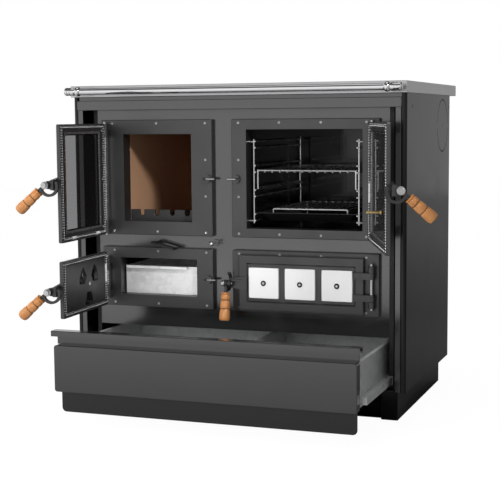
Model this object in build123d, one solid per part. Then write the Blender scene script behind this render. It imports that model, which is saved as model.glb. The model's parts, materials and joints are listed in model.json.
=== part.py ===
from build123d import *
import os
from dataclasses import dataclass
from math import cos, radians, sin, tan

os.makedirs("parts", exist_ok=True)

# A wood-fired kitchen stove: firebox and ash pan on the left, oven and flue cleaning door
# on the right, a log drawer below and a hob on top.
# X runs to the right, Y to the back and Z up. X = 0 is the middle of the casing, Y = 0 is
# the front of the corner posts and Z = 0 is the floor. All sizes are in millimetres. The
# finished pieces are shifted so that Y = 0 is the middle of the plinth's underside.

# Hob and outer casing
HOB_SIDE = 3.0
HOB_REAR = 24.0
HEIGHT = 850.0
HOB_OVERHANG = 8.0
HOB_FRAME_HEIGHT = 29.0
HOB_SHEET = 2.0
HOB_LIP = 12.0
HOB_FLANGE = 36.0
HOB_PLATE_THICK = 7.0
HOB_SKIRT = 6.0
HOB_GAP = 1.0
HOB_LID_RADIUS = 100.0
HOB_LID_THICK = 5.0
LID_LEDGE = 9.0
LID_SLOT_LENGTH = 34.0
LID_SLOT_WIDTH = 8.0
LID_FORWARD = 20.0
CASE_WIDTH = 896.0
CASE_DEPTH = 530.0
CASE_BOTTOM = 88.0
SHEET = 2.0
PANEL_BEND = 9.0
PANEL_RETURN = 12.0
PANEL_SLOT = 10.0
PANEL_SLOT_HEIGHT = 4.0
PANEL_SLOT_FRONT = 61.0
PANEL_SLOT_BACK = 15.0
PANEL_SLOT_DROP = 61.0
FIT = 0.3

# Front posts and cross rail
POST_WIDTH = 13.5
POST_GAP = 1.5
POST_DEPTH = 30.0
CROSS_RAIL_HEIGHT = 24.0
CROSS_RAIL_DROP = 39.0
CROSS_RAIL_DEPTH = 26.0
CROSS_RAIL_STEP = 6.0

# Inner body behind the posts
CORE_INSET = 39.0
CORE_FRONT = 40.0
CORE_REAR = 50.0
CORE_LIP = 11.0
PLATE_THICK = 3.0
PLATE_OVER_DRAWER = 17.0
PLATE_DROP = 6.0
CORE_FLOOR_THICK = 3.0
DIVIDER_SET = 26.4
RUNNER_NOTCH = 1.0

# Cast frames on the front plate
FRAME_THICK = 14.0
FRAME_WALL = 8.0
FRAME_COLLAR = 26.0
FRAME_EDGE = 1.2
LEFT_FRAME_WIDTH = 315.3
FRAME_SIDE_LEFT = 27.3
FRAME_SIDE_RIGHT = 33.9
FRAME_SPACING = 54.0
FRAME_RISE = 32.8
FRAME_TOP_DROP = 59.9
FRAME_FOOT = 52.8
LOWER_FRAME_HEIGHT = 158.0
SCREW_RADIUS = 3.4
SCREW_HEAD = 0.2
SCREW_DEPTH = 3.0
SCREW_INSET = 18.5
SCREW_EDGE = 9.5
SCREW_PITCH_LEFT = 137.0
SCREW_PITCH_RIGHT = 109.6
HINGE_SCREW_INSET = 33.0

# Hinges
HINGE_INSET = 16.7
HINGE_STANDOFF = 11.0
KNUCKLE_RADIUS = 9.0
KNUCKLE_HEIGHT = 16.4
KNUCKLE_GAP = 0.8
HINGE_PIN_RADIUS = 4.0
RUNNING_FIT = 0.05
PRESS_FIT = 0.02
PIN_TIP = 6.0
ARM_LENGTH = 44.0
ARM_THICK = 8.0

# Doors
DOOR_THICK = 10.0
DOOR_START = 20.0
SEAL_GAP = 3.0
DOOR_EDGE_GAP = 22.0
DOOR_CORNER = 3.0
DOOR_BEVEL = 1.5
UPPER_DOOR_MARGIN = 2.4
UPPER_DOOR_CLEAR = 9.1
LOWER_DOOR_MARGIN = 5.7
LOWER_DOOR_CLEAR = 10.8
ROPE_WIDTH = 7.6
ROPE_DEPTH = 7.4
ROPE_INSET = 8.0
ROPE_CORNER = 6.0
ROPE_PLAY = 0.2
TALL_FRAME = 200.0
HINGE_END_TALL = 1.4
HINGE_END_LOW = 17.95
GLASS_THICK = 4.0
GLASS_LAP = 9.0
RETAINER_THICK = 1.8
RETAINER_WIDTH = 6.0
WINDOW_BEVEL = 3.0
WINDOW_CORNER = 5.0
WINDOW_HINGE_BORDER = 37.0
WINDOW_FREE_BORDER = 32.0
WINDOW_BOTTOM_BORDER = 30.0
WINDOW_TOP_BORDER = 28.0

# Latches
BOSS_INSET = 13.0
BOSS_RADIUS = 10.5
BOSS_HEIGHT = 7.0
BOSS_NOTCH = 2.0
KEEPER_RADIUS = 3.0
KEEPER_RISE = 1.7
KEEPER_REACH = 9.0
KEEPER_BURIED = 14.0
PIVOT_DROP = 3.0
PIVOT_FORWARD = 20.0
PIVOT_RADIUS = 4.0
BRACKET_BACK = 24.0
BRACKET_THICK = 7.6
BRACKET_SPREAD = 18.0
BRACKET_EYE = 9.0
BRACKET_TAPER = 6.0
RIB_DROP = 8.0
RIB_THICK = 4.0
CLAW_GAP = 2.0
CLAW_THICK = 6.8
CLAW_HUB = 9.0
CLAW_OFFSET = 10.0
CLAW_OFFSET_ANGLE = -56.0
CLAW_INNER = 18.9
CLAW_WALL = 6.6
CLAW_START = 150.0
CLAW_END = 342.0
TANG_START = 22.0
TANG_END = 72.0
TANG_RADIUS = 4.5
GRIP_START = 24.0
GRIP_LENGTH = 72.0
GRIP_TOP = 12.5
GRIP_NECK = 11.2
GRIP_BASE = 14.5
GRIP_RIM = 3.0
GRIP_GROOVE = 1.2
GRIP_GROOVES = (0.27, 0.58)
BOLT_ACROSS = 13.0
BOLT_HEAD = 7.0
BOLT_TIP = 3.0
WASHER_RADIUS = 9.5
WASHER_THICK = 1.4

# How far things stand open in the rest position, in degrees and millimetres
LEFT_DOOR_OPEN = 88.0
OVEN_DOOR_OPEN = 111.0
HANDLE_RAISED = 41.0
HANDLE_LATCHED = 80.0
DRAWER_PULLED = 240.0

# Firebox
FIREBOX_BORDER_LEFT = 64.7
FIREBOX_BORDER_RIGHT = 57.6
FIREBOX_BORDER_BOTTOM = 36.0
FIREBOX_BORDER_TOP = 37.4
BRICK_THICK = 30.0
BRICK_LENGTH = 217.0
BRICK_GAP = 2.0
BRICK_JOINT = 0.6
BRICK_SETBACK = 1.0
SHELL_RIM = 12.0
FIREBOX_DEPTH = 416.0
GRATE_DROP = 1.6
GRATE_THICK = 10.0
BRICK_DROP = 35.0
LOG_BAR_HEIGHT = 29.6
LOG_BAR_THICK = 10.0
LOG_BAR_PLAY = 0.5
LOG_BAR_NOTCHES = 4
LOG_BAR_PITCH = 44.0
NOTCH_WIDTH = 14.0
NOTCH_DEPTH = 16.0
SHAKER_WIDTH = 118.0
SHAKER_LENGTH = 216.0
SHAKER_SLOTS = 9
SHAKER_SLOT_WIDTH = 8.0
SHAKER_BORDER = 12.0
SHAKER_PLAY = 1.0
SHAKER_THICK = 8.0
SHAKER_LEDGE = 10.0
LEVER_DROP = 54.0
LEVER_ROD = 5.0
LEVER_TILT = 14.0
LEVER_SWING = 24.0
LEVER_WIDTH = 66.0
LEVER_HEEL = 10.0
LEVER_OVERRUN = 8.0
LEVER_THICK = 5.0
LEVER_FRONT = -2.0
LEVER_DEPTH = 25.0
FINGER_RADIUS = 4.0
FINGER_DEPTH = 3.6
FINGER_PLAY = 1.0

# Air control
KNOB_SET = 4.4
KNOB_RISE = 3.0
KNOB_RADIUS = 6.5
KNOB_STANDOUT = 35.0
KNOB_ROD = 3.0
KNOB_COLLAR = 8.5
KNOB_COLLAR_HEIGHT = 4.0
KNOB_INSIDE = 30.0
DAMPER_RADIUS = 14.0
DAMPER_THICK = 4.0

# Ash pan
ASH_BORDER_LEFT = 51.4
ASH_BORDER_RIGHT = 45.4
ASH_BORDER_BOTTOM = 31.7
ASH_BORDER_TOP = 28.6
PAN_CLEAR = 4.0
PAN_HEIGHT = 75.0
PAN_DEPTH = 350.0
PAN_FRONT = 50.0
PAN_SHEET = 1.5
PAN_LIP_DEPTH = 12.0
PAN_LIP_DROP = 7.0
PAN_LIP_LEFT = 6.0
PAN_LIP_RIGHT = 30.0

# Oven
OVEN_BORDER_LEFT = 39.6
OVEN_BORDER_RIGHT = 42.7
OVEN_BORDER_BOTTOM = 23.0
OVEN_BORDER_TOP = 26.3
OVEN_MARGIN = 4.0
OVEN_DEPTH = 437.0
RACK_INSET = 14.0
RACK_GAP = 6.0
RACK_REAR = 46.0
RACK_DROP = 24.8
RACK_RISE = 12.4
RACK_WIRE = 2.2
RACK_PITCH = 62.0
RACK_FOOT = 7.0
RAIL_PAIR = 16.5
RAIL_OVERHANG = 4.0
SHELF_SET = 4.0
SHELF_WIRE = 2.4
SHELF_RISE = 45.0
SHELF_BARS = 12
SHELF_LEVEL = 1
SHELF_DEPTH = 350.0
THIN_WIRE = 1.5
TRAY_HEIGHT = 20.0
TRAY_SHEET = 1.2
TRAY_RIM = 8.0
TRAY_SLOPE = 18.0
TRAY_DEPTH = 355.0
GRID_BARS = 10
GRID_RISE = 9.0

# Tiled door
TILE_COUNT = 3
TILE_SIDE = 3.6
TILE_HEIGHT = 78.0
TILE_GAP = 16.8
TILE_THICK = 7.0
TILE_FIELD_DEPTH = 4.0
TILE_FIELD_MARGIN = 24.0
TILE_SCREW = 3.2
TILE_SCREW_HEAD = 2.0
TILE_CORNER = 2.0
TILE_EDGE = 1.0
TILE_RIM_INSET = 5.0
TILE_RIM_WIDTH = 4.0

# Rotary air disc of the ash door
ROSETTE_RADIUS = 62.0
ROSETTE_THICK = 3.0
ROSETTE_BLADES = 3
ROSETTE_SLOT_INNER = 22.0
ROSETTE_SLOT_OUTER = 57.0
ROSETTE_SLOT_SPAN = 54.0
ROSETTE_SLOT_START = 3.0
ROSETTE_SLOT_CORNER = 5.0
ROSETTE_TURNED = 38.0
ROSETTE_KNOB_RISE = 36.0
ROSETTE_KNOB = 7.0
ROSETTE_KNOB_LENGTH = 12.0
ROSETTE_OFFSET = 17.3
SPINDLE_RADIUS = 3.0
SPINDLE_HEAD = 6.0
SPINDLE_HEAD_HEIGHT = 3.0
SPINDLE_NUT = 5.5
SPINDLE_NUT_HEIGHT = 2.4

# Oven thermometer
DIAL_RADIUS = 24.0
DIAL_THICK = 8.0
STEM_RADIUS = 3.0
STEM_LENGTH = 38.0
STEM_INSET = 72.8
STEM_RISE = 90.0
STEM_NUT = 5.5
DIAL_EDGE = 2.0
NUT_LENGTH = 5.0

# Log drawer
FRONT_SIDE = 18.0
FRONT_LAP = 2.0
FRONT_HEIGHT = 118.0
FRONT_DEPTH = 27.0
FRONT_CORNER = 7.0
FRONT_EDGE = 2.5
GRIP_SIDE = 11.5
GRIP_STRIP_HEIGHT = 14.0
GRIP_RISE = 36.0
GRIP_WEB = 5.0
GRIP_STRIP_EDGE = 2.0
DRAWER_SIDE = 22.0
DRAWER_RISE = 4.0
DRAWER_HEIGHT = 107.0
DRAWER_LENGTH = 475.0
DRAWER_RIM = 10.0
DRAWER_DIVIDER_X = 52.0
SLIDE_START = 12.0
KICK_SIDE = 2.0
KICK_BOTTOM = 30.0
KICK_CORNER = 12.0
KICK_FLANGE = 30.0
RUNNER_HEIGHT = 22.0
RUNNER_RISE = 6.0
RUNNER_WALL = 2.0
RUNNER_GAP = 6.0
RUNNER_SHORT = 8.0

# Towel rail
RAIL_FORWARD = 36.0
RAIL_RADIUS = 8.3
RAIL_DROP = 15.0
RAIL_BRACKET_SET = 40.0
RAIL_BRACKET_RADIUS = 12.5
RAIL_BRACKET_WIDTH = 14.0
RAIL_END_SET = 3.0
RAIL_CAP_RADIUS = 10.5
RAIL_CAP_RINGS = (0.42, 0.66)
RAIL_CAP_RING = 2.0
RAIL_CAP_RING_DEPTH = 1.5
RAIL_CAP_EDGE = 3.0
RAIL_BRACKET_EDGE = 3.4
RAIL_STEM = 6.0

# Flue outlet
FLUE_SIDE = 109.0
FLUE_DROP = 82.0
FLUE_RADIUS = 74.5
FLUE_LENGTH = 46.0
FLUE_FLANGE = 6.0
FLUE_FLANGE_THICK = 3.0
KNOCKOUT_SET = 97.0
KNOCKOUT_RADIUS = 71.0
KNOCKOUT_SLOT = 2.4
KNOCKOUT_BRIDGE = 16.0
KNOCKOUT_CENTRE = 2.0

# Plinth
PLINTH_SIDE = 3.0
PLINTH_FRONT = 73.0
PLINTH_REAR_STEP = 3.0
PLINTH_RETURN = 43.0
PLINTH_SETBACK = 16.0

# Values that follow from the sizes above
CASE_HALF = CASE_WIDTH / 2
HOB_HALF = CASE_HALF + HOB_SIDE
CORE_HALF = CASE_HALF - CORE_INSET
CORE_BACK = CASE_DEPTH + CORE_REAR
HOB_BACK = CORE_BACK + HOB_REAR
HOB_FRAME_BOTTOM = HEIGHT - HOB_FRAME_HEIGHT
POST_OUTER = CASE_HALF - PANEL_RETURN - POST_GAP
CROSS_RAIL_TOP = HEIGHT - CROSS_RAIL_DROP
CROSS_RAIL_BOTTOM = CROSS_RAIL_TOP - CROSS_RAIL_HEIGHT
BACK_Y = CORE_BACK - SHEET
PLINTH_BACK = CORE_BACK + PLINTH_REAR_STEP
BASE_MIDDLE = (PLINTH_FRONT + PLINTH_BACK) / 2
CORE_TOP = HOB_FRAME_BOTTOM
FLOOR_TOP = CASE_BOTTOM + SHEET
FRAME_FACE = CORE_FRONT - FRAME_THICK
HINGE_Y = FRAME_FACE - HINGE_STANDOFF
DOOR_INNER = HINGE_STANDOFF - SEAL_GAP
DOOR_OUTER = DOOR_INNER - DOOR_THICK
KEEPER_Y = HINGE_STANDOFF - BOSS_HEIGHT
PIVOT_Y = -PIVOT_FORWARD
FRONT_PLANE = -DRAWER_PULLED
BOX_FRONT = FRONT_PLANE + FRONT_DEPTH
PLATE_BACK = CORE_FRONT + PLATE_THICK
DRAWER_BOTTOM = CASE_BOTTOM + DRAWER_RISE
PLATE_BOTTOM = DRAWER_BOTTOM + DRAWER_HEIGHT + PLATE_OVER_DRAWER
PLATE_TOP = CORE_TOP - PLATE_DROP
LEFT_FRAME_RIGHT = FRAME_SIDE_LEFT + LEFT_FRAME_WIDTH - CORE_HALF
RIGHT_FRAME_LEFT = LEFT_FRAME_RIGHT + FRAME_SPACING
RIGHT_FRAME_WIDTH = CORE_HALF - FRAME_SIDE_RIGHT - RIGHT_FRAME_LEFT
DIVIDER_X = LEFT_FRAME_RIGHT + DIVIDER_SET
LOWER_FRAME_BOTTOM = PLATE_BOTTOM + FRAME_FOOT
UPPER_FRAME_BOTTOM = LOWER_FRAME_BOTTOM + LOWER_FRAME_HEIGHT + FRAME_RISE
UPPER_FRAME_HEIGHT = CORE_TOP - FRAME_TOP_DROP - UPPER_FRAME_BOTTOM
UPPER_DOOR_HEIGHT = UPPER_FRAME_HEIGHT - UPPER_DOOR_MARGIN - UPPER_DOOR_CLEAR
LOWER_DOOR_HEIGHT = LOWER_FRAME_HEIGHT - LOWER_DOOR_MARGIN - LOWER_DOOR_CLEAR
LEFT_REACH = LEFT_FRAME_WIDTH - HINGE_INSET - DOOR_EDGE_GAP
RIGHT_REACH = RIGHT_FRAME_WIDTH - HINGE_INSET - DOOR_EDGE_GAP
BRICK_FRONT = CORE_FRONT + FRAME_COLLAR + BRICK_GAP
BRICK_TOP = CORE_TOP - BRICK_DROP
GRATE_TOP = UPPER_FRAME_BOTTOM + FIREBOX_BORDER_BOTTOM - GRATE_DROP
LEVER_HEIGHT = GRATE_TOP - LEVER_DROP
KNOB_X = LEFT_FRAME_RIGHT + KNOB_SET
KNOB_Z = LEVER_HEIGHT + KNOB_RISE
RACK_FRONT = CORE_FRONT + RACK_GAP
RACK_BACK = PLATE_BACK + OVEN_DEPTH - RACK_REAR
RACK_TOP = UPPER_FRAME_BOTTOM + UPPER_FRAME_HEIGHT - OVEN_BORDER_TOP - RACK_DROP
RACK_BOTTOM = UPPER_FRAME_BOTTOM + OVEN_BORDER_BOTTOM + RACK_RISE
RACK_FIRST = RACK_BOTTOM + RACK_FOOT
RACK_LEVELS = int((RACK_TOP - RACK_FIRST - RAIL_PAIR) // RACK_PITCH) + 1
RAIL_SET = 1.8 * RACK_WIRE
SHELF_FRONT = RACK_FRONT + SHELF_SET
TILE_FIELD = RIGHT_REACH - DOOR_START - 2 * TILE_FIELD_MARGIN
TILE_WIDTH = (TILE_FIELD - 2 * TILE_SIDE - (TILE_COUNT - 1) * TILE_GAP) / TILE_COUNT
TILE_PITCH = TILE_WIDTH + TILE_GAP
STEM_U = RIGHT_REACH - STEM_INSET
STEM_HEIGHT = UPPER_FRAME_BOTTOM + UPPER_DOOR_MARGIN + STEM_RISE
ROSETTE_U = (DOOR_START + LEFT_REACH) / 2 - ROSETTE_OFFSET
FRONT_HALF = CORE_HALF - FRONT_SIDE
FRONT_BOTTOM = CASE_BOTTOM - FRONT_LAP
GRIP_HALF = CORE_HALF - GRIP_SIDE
DRAWER_HALF = CORE_HALF - DRAWER_SIDE
KICK_HALF = DRAWER_HALF - KICK_SIDE
RUNNER_BOTTOM = DRAWER_BOTTOM + RUNNER_RISE
RAIL_BRACKET_X = HOB_HALF - RAIL_BRACKET_SET
RAIL_END = HOB_HALF - RAIL_END_SET
FLUE_X = CORE_HALF - FLUE_SIDE
FLUE_HEIGHT = CORE_TOP - FLUE_DROP
KNOCKOUT_Y = CASE_DEPTH - KNOCKOUT_SET
PLINTH_HALF = CORE_HALF + PLINTH_SIDE


def block(x, y, z):
    """A box between two values along each axis."""
    size = (x[1] - x[0], y[1] - y[0], z[1] - z[0])
    middle = ((x[0] + x[1]) / 2, (y[0] + y[1]) / 2, (z[0] + z[1]) / 2)
    return Pos(*middle) * Box(*size)


def slab(x, y, z, corner):
    """A plate that faces the front, with rounded corners."""
    face = RectangleRounded(x[1] - x[0], z[1] - z[0], corner)
    plane = Plane(origin=((x[0] + x[1]) / 2, y[1], (z[0] + z[1]) / 2), z_dir=(0, -1, 0), x_dir=(1, 0, 0))
    return extrude(plane * face, y[1] - y[0])


def rod(start, end, radius, sides=0):
    """A straight round bar from point to point, or a prism where sides are given."""
    start, end = Vector(*start), Vector(*end)
    along = end - start
    section = RegularPolygon(radius, sides) if sides else Circle(radius)
    return extrude(Plane(origin=start, z_dir=along) * section, along.length)


def ring(x, y, z, width, corner):
    """A flat picture-frame ring that faces the front, whose outer edge is given."""
    inner = max(corner - width, 0.5)
    inside = slab((x[0] + width, x[1] - width), (y[0] - 1, y[1] + 1), (z[0] + width, z[1] - width), inner)
    return slab(x, y, z, corner) - inside


def group(solids):
    """Separate solids kept together as one sub-part."""
    return Compound(children=[s for one in solids for s in one.solids()])


@dataclass
class Doorway:
    """One of the four openings in the front: its frame, its opening and its door."""

    name: str
    side: int
    left: float
    width: float
    bottom: float
    height: float
    door_margin: float
    door_height: float
    open_angle: float
    handle_angle: float
    borders: tuple

    @property
    def x(self):
        return (self.left, self.left + self.width)

    @property
    def z(self):
        return (self.bottom, self.bottom + self.height)

    @property
    def opening_x(self):
        return (self.left + self.borders[0], self.left + self.width - self.borders[1])

    @property
    def opening_z(self):
        return (self.bottom + self.borders[2], self.bottom + self.height - self.borders[3])

    @property
    def hinge_x(self):
        return self.left + HINGE_INSET if self.side < 0 else self.left + self.width - HINGE_INSET

    @property
    def reach(self):
        """From the hinge axis to the free edge of the door."""
        return self.width - HINGE_INSET - DOOR_EDGE_GAP

    @property
    def door_z(self):
        return (self.bottom + self.door_margin, self.bottom + self.door_margin + self.door_height)

    @property
    def middle_z(self):
        return (self.door_z[0] + self.door_z[1]) / 2

    @property
    def keeper_z(self):
        return self.middle_z + KEEPER_RISE

    @property
    def pivot_z(self):
        return self.keeper_z - PIVOT_DROP

    @property
    def swing(self):
        """The turn about +Z that opens the door from closed to its rest position."""
        return self.side * self.open_angle

    def knuckles(self):
        """Heights of the fixed lugs and of the door's arms, as (low, high) pairs."""
        end = HINGE_END_TALL if self.height > TALL_FRAME else HINGE_END_LOW
        span = self.door_height / 2 - end - 2 * KNUCKLE_HEIGHT - KNUCKLE_GAP
        step = KNUCKLE_HEIGHT + KNUCKLE_GAP
        arms, lugs = [], []
        for knuckles, near in ((arms, span), (lugs, span + step)):
            for sign in (-1, 1):
                ends = (self.middle_z + sign * near, self.middle_z + sign * (near + KNUCKLE_HEIGHT))
                knuckles.append((min(ends), max(ends)))
        return lugs, arms

    def fixed(self, piece):
        """Places a piece made about the hinge axis, u to the free edge, on the frame."""
        if self.side > 0:
            piece = mirror(piece, about=Plane.YZ)
        return Pos(self.hinge_x, HINGE_Y, 0) * piece

    def hung(self, piece):
        """Places a piece made about the hinge axis on the door where it stands open."""
        if self.side > 0:
            piece = mirror(piece, about=Plane.YZ)
        return Pos(self.hinge_x, HINGE_Y, 0) * Rot(0, 0, self.swing) * piece


UPPER = (UPPER_FRAME_BOTTOM, UPPER_FRAME_HEIGHT, UPPER_DOOR_MARGIN, UPPER_DOOR_HEIGHT)
LOWER = (LOWER_FRAME_BOTTOM, LOWER_FRAME_HEIGHT, LOWER_DOOR_MARGIN, LOWER_DOOR_HEIGHT)
LEFT_FRAME_LEFT = LEFT_FRAME_RIGHT - LEFT_FRAME_WIDTH
firebox = Doorway(
    "firebox", -1, LEFT_FRAME_LEFT, LEFT_FRAME_WIDTH, *UPPER, LEFT_DOOR_OPEN, HANDLE_RAISED,
    (FIREBOX_BORDER_LEFT, FIREBOX_BORDER_RIGHT, FIREBOX_BORDER_BOTTOM, FIREBOX_BORDER_TOP),
)
ash = Doorway(
    "ash", -1, LEFT_FRAME_LEFT, LEFT_FRAME_WIDTH, *LOWER, LEFT_DOOR_OPEN, HANDLE_RAISED,
    (ASH_BORDER_LEFT, ASH_BORDER_RIGHT, ASH_BORDER_BOTTOM, ASH_BORDER_TOP),
)
oven = Doorway(
    "oven", 1, RIGHT_FRAME_LEFT, RIGHT_FRAME_WIDTH, *UPPER, OVEN_DOOR_OPEN, HANDLE_RAISED,
    (OVEN_BORDER_LEFT, OVEN_BORDER_RIGHT, OVEN_BORDER_BOTTOM, OVEN_BORDER_TOP),
)
tile = Doorway(
    "tile", 1, RIGHT_FRAME_LEFT, RIGHT_FRAME_WIDTH, *LOWER, 0.0, HANDLE_LATCHED,
    (OVEN_BORDER_LEFT, OVEN_BORDER_RIGHT, ASH_BORDER_BOTTOM, ASH_BORDER_TOP),
)
doorways = (firebox, oven, ash, tile)


def side_panel(sign):
    """Folded outer side sheet with a rounded front edge and a rear flange."""
    outer, inner = CASE_HALF, CASE_HALF - SHEET
    skin = block((inner, outer), (PANEL_BEND, CASE_DEPTH), (CASE_BOTTOM, CORE_TOP))
    bend = Pos(outer - PANEL_BEND, PANEL_BEND, 0) * (
        Cylinder(PANEL_BEND, CORE_TOP - CASE_BOTTOM) - Cylinder(PANEL_BEND - SHEET, CORE_TOP)
    )
    corner = block((outer - PANEL_BEND, outer), (0, PANEL_BEND), (CASE_BOTTOM, CORE_TOP))
    bend = Pos(0, 0, (CORE_TOP + CASE_BOTTOM) / 2) * bend & corner
    lip = block((outer - PANEL_RETURN, outer - PANEL_BEND), (0, SHEET), (CASE_BOTTOM, CORE_TOP))
    rear = block((CORE_HALF, outer), (CASE_DEPTH - SHEET, CASE_DEPTH), (FLOOR_TOP, CORE_TOP))
    panel = skin + bend + lip + rear
    for y in (PANEL_SLOT_FRONT, CASE_DEPTH - PANEL_SLOT_BACK):
        slot = SlotOverall(PANEL_SLOT, PANEL_SLOT_HEIGHT, rotation=90)
        plane = Plane(origin=(outer + 1, y, HEIGHT - PANEL_SLOT_DROP), x_dir=(0, 1, 0), z_dir=(1, 0, 0))
        panel -= extrude(plane * slot, -SHEET - 2)
    if sign > 0:
        panel -= knockout_slot(outer)
        return panel
    return mirror(panel, about=Plane.YZ)


def knockout_slot(outer):
    """Cut ring for the side flue outlet, left standing on two bridges."""
    plane = Plane(origin=(outer + 1, KNOCKOUT_Y, FLUE_HEIGHT), x_dir=(0, 1, 0), z_dir=(1, 0, 0))
    cut = Circle(KNOCKOUT_RADIUS) - Circle(KNOCKOUT_RADIUS - KNOCKOUT_SLOT)
    bridges = Rectangle(3 * KNOCKOUT_RADIUS, KNOCKOUT_BRIDGE)
    return extrude(plane * (cut - bridges + Circle(KNOCKOUT_CENTRE)), -SHEET - 2)


def front_surround():
    """Two corner posts and the cross rail that ties them, as three folded strips."""
    pieces = []
    for sign in (-1, 1):
        post = block((POST_OUTER - POST_WIDTH, POST_OUTER), (0, POST_DEPTH), (FLOOR_TOP, CROSS_RAIL_BOTTOM))
        post -= block(
            (POST_OUTER - POST_WIDTH - 1, POST_OUTER - SHEET), (SHEET, POST_DEPTH + 1),
            (0, CROSS_RAIL_BOTTOM + 1),
        )
        pieces.append(post if sign > 0 else mirror(post, about=Plane.YZ))
    reach = CASE_HALF - PANEL_RETURN - FIT
    rail = block((-reach, reach), (-SHEET, CROSS_RAIL_DEPTH), (CROSS_RAIL_BOTTOM, CROSS_RAIL_TOP))
    rail += block((-reach, reach), (CROSS_RAIL_STEP, CROSS_RAIL_DEPTH), (CROSS_RAIL_TOP, CORE_TOP))
    rail -= block(
        (-reach - 1, reach + 1), (CROSS_RAIL_STEP + SHEET, CROSS_RAIL_DEPTH + 1),
        (CROSS_RAIL_BOTTOM + SHEET, CORE_TOP - SHEET),
    )
    pieces.append(rail)
    return group(pieces)


def core_sheets():
    """Carcass sheets: two flanged walls, the divider, three shelves and the bottom."""
    pieces = []
    for sign in (-1, 1):
        wall = block((CORE_HALF - SHEET, CORE_HALF), (CORE_FRONT, BACK_Y), (FLOOR_TOP, CORE_TOP))
        flange_y = (CORE_FRONT, CORE_FRONT + SHEET)
        wall += block((CORE_HALF - CORE_LIP, CORE_HALF), flange_y, (FLOOR_TOP, CORE_TOP))
        wall -= block(
            (CORE_HALF - CORE_LIP - 1, CORE_HALF - SHEET), (CORE_FRONT - 1, flange_y[1]),
            (RUNNER_BOTTOM - RUNNER_NOTCH, RUNNER_BOTTOM + RUNNER_HEIGHT + RUNNER_NOTCH),
        )
        pieces.append(wall if sign > 0 else mirror(wall, about=Plane.YZ))
    inner = CORE_HALF - SHEET
    shelf_top = PLATE_BOTTOM + CORE_FLOOR_THICK
    pieces.append(block((-inner, inner), (PLATE_BACK, BACK_Y), (PLATE_BOTTOM, shelf_top)))
    pieces.append(block((DIVIDER_X, DIVIDER_X + SHEET), (PLATE_BACK, BACK_Y), (shelf_top, CORE_TOP)))
    top = ash.opening_z[0] - FIT
    pieces.append(block((-inner, DIVIDER_X), (CORE_FRONT + FRAME_COLLAR, BACK_Y), (top - CORE_FLOOR_THICK, top)))
    wide = CASE_HALF - SHEET
    bottom = block((-wide, wide), (PANEL_BEND, CASE_DEPTH), (CASE_BOTTOM, FLOOR_TOP))
    bottom += block((-CORE_HALF, CORE_HALF), (CASE_DEPTH, BACK_Y), (CASE_BOTTOM, FLOOR_TOP))
    bottom -= block((-FRONT_HALF, FRONT_HALF), (0, PLINTH_FRONT), (CASE_BOTTOM - 1, FLOOR_TOP + 1))
    pieces.append(bottom)
    return group(pieces)


def front_plate():
    """Steel front plate with the four openings that take the frames' collars."""
    half = CORE_HALF - CORE_LIP
    plate = block((-half, half), (CORE_FRONT, PLATE_BACK), (PLATE_BOTTOM, PLATE_TOP))
    for way in doorways:
        x = (way.opening_x[0] - FRAME_WALL - FIT, way.opening_x[1] + FRAME_WALL + FIT)
        z = (way.opening_z[0] - FRAME_WALL - FIT, way.opening_z[1] + FRAME_WALL + FIT)
        plate -= block(x, (0, 2 * PLATE_BACK), z)
    collar = CORE_FRONT - KNOB_COLLAR_HEIGHT
    plate += rod((KNOB_X, collar, KNOB_Z), (KNOB_X, CORE_FRONT, KNOB_Z), KNOB_COLLAR)
    far = 2 * PLATE_BACK
    x = firebox_middle()
    lever = rod((x, 0, LEVER_HEIGHT), (x, far, LEVER_HEIGHT), LEVER_ROD + RUNNING_FIT)
    knob = rod((KNOB_X, 0, KNOB_Z), (KNOB_X, far, KNOB_Z), KNOB_ROD + RUNNING_FIT)
    return plate - lever - knob


def firebox_middle():
    """Middle of the firebox opening across the front."""
    return (firebox.opening_x[0] + firebox.opening_x[1]) / 2


def cast_frame(way):
    """Cast frame: flat border, collar through the plate, hinge lugs and keeper boss."""
    frame = slab(way.x, (FRAME_FACE, CORE_FRONT), way.z, DOOR_CORNER)
    frame = chamfer(frame.faces().sort_by(Axis.Y)[0].edges(), FRAME_EDGE)
    x = (way.opening_x[0] - FRAME_WALL, way.opening_x[1] + FRAME_WALL)
    z = (way.opening_z[0] - FRAME_WALL, way.opening_z[1] + FRAME_WALL)
    frame += block(x, (CORE_FRONT, CORE_FRONT + FRAME_COLLAR), z)
    frame -= block(way.opening_x, (0, CORE_FRONT + FRAME_COLLAR + 1), way.opening_z)
    for x, z in frame_screw_places(way):
        frame -= rod((x, 0, z), (x, FRAME_FACE + SCREW_DEPTH, z), SCREW_RADIUS + PRESS_FIT, 8)
    extras = Part()
    for low, high in way.knuckles()[0]:
        lug = rod((0, 0, low), (0, 0, high), KNUCKLE_RADIUS)
        lug += block((-KNUCKLE_RADIUS, KNUCKLE_RADIUS), (0, HINGE_STANDOFF), (low, high))
        extras += lug - rod((0, 0, low - 1), (0, 0, high + 1), HINGE_PIN_RADIUS + PRESS_FIT)
    at = way.reach + DOOR_EDGE_GAP - BOSS_INSET
    boss = rod((at, KEEPER_Y, way.keeper_z), (at, HINGE_STANDOFF, way.keeper_z), BOSS_RADIUS)
    ends = (at - 2 * BOSS_RADIUS, KEEPER_Y, way.keeper_z), (at + 2 * BOSS_RADIUS, KEEPER_Y, way.keeper_z)
    groove = rod(*ends, KEEPER_RADIUS + PRESS_FIT)
    extras += boss - groove
    return frame + way.fixed(extras)


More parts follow.
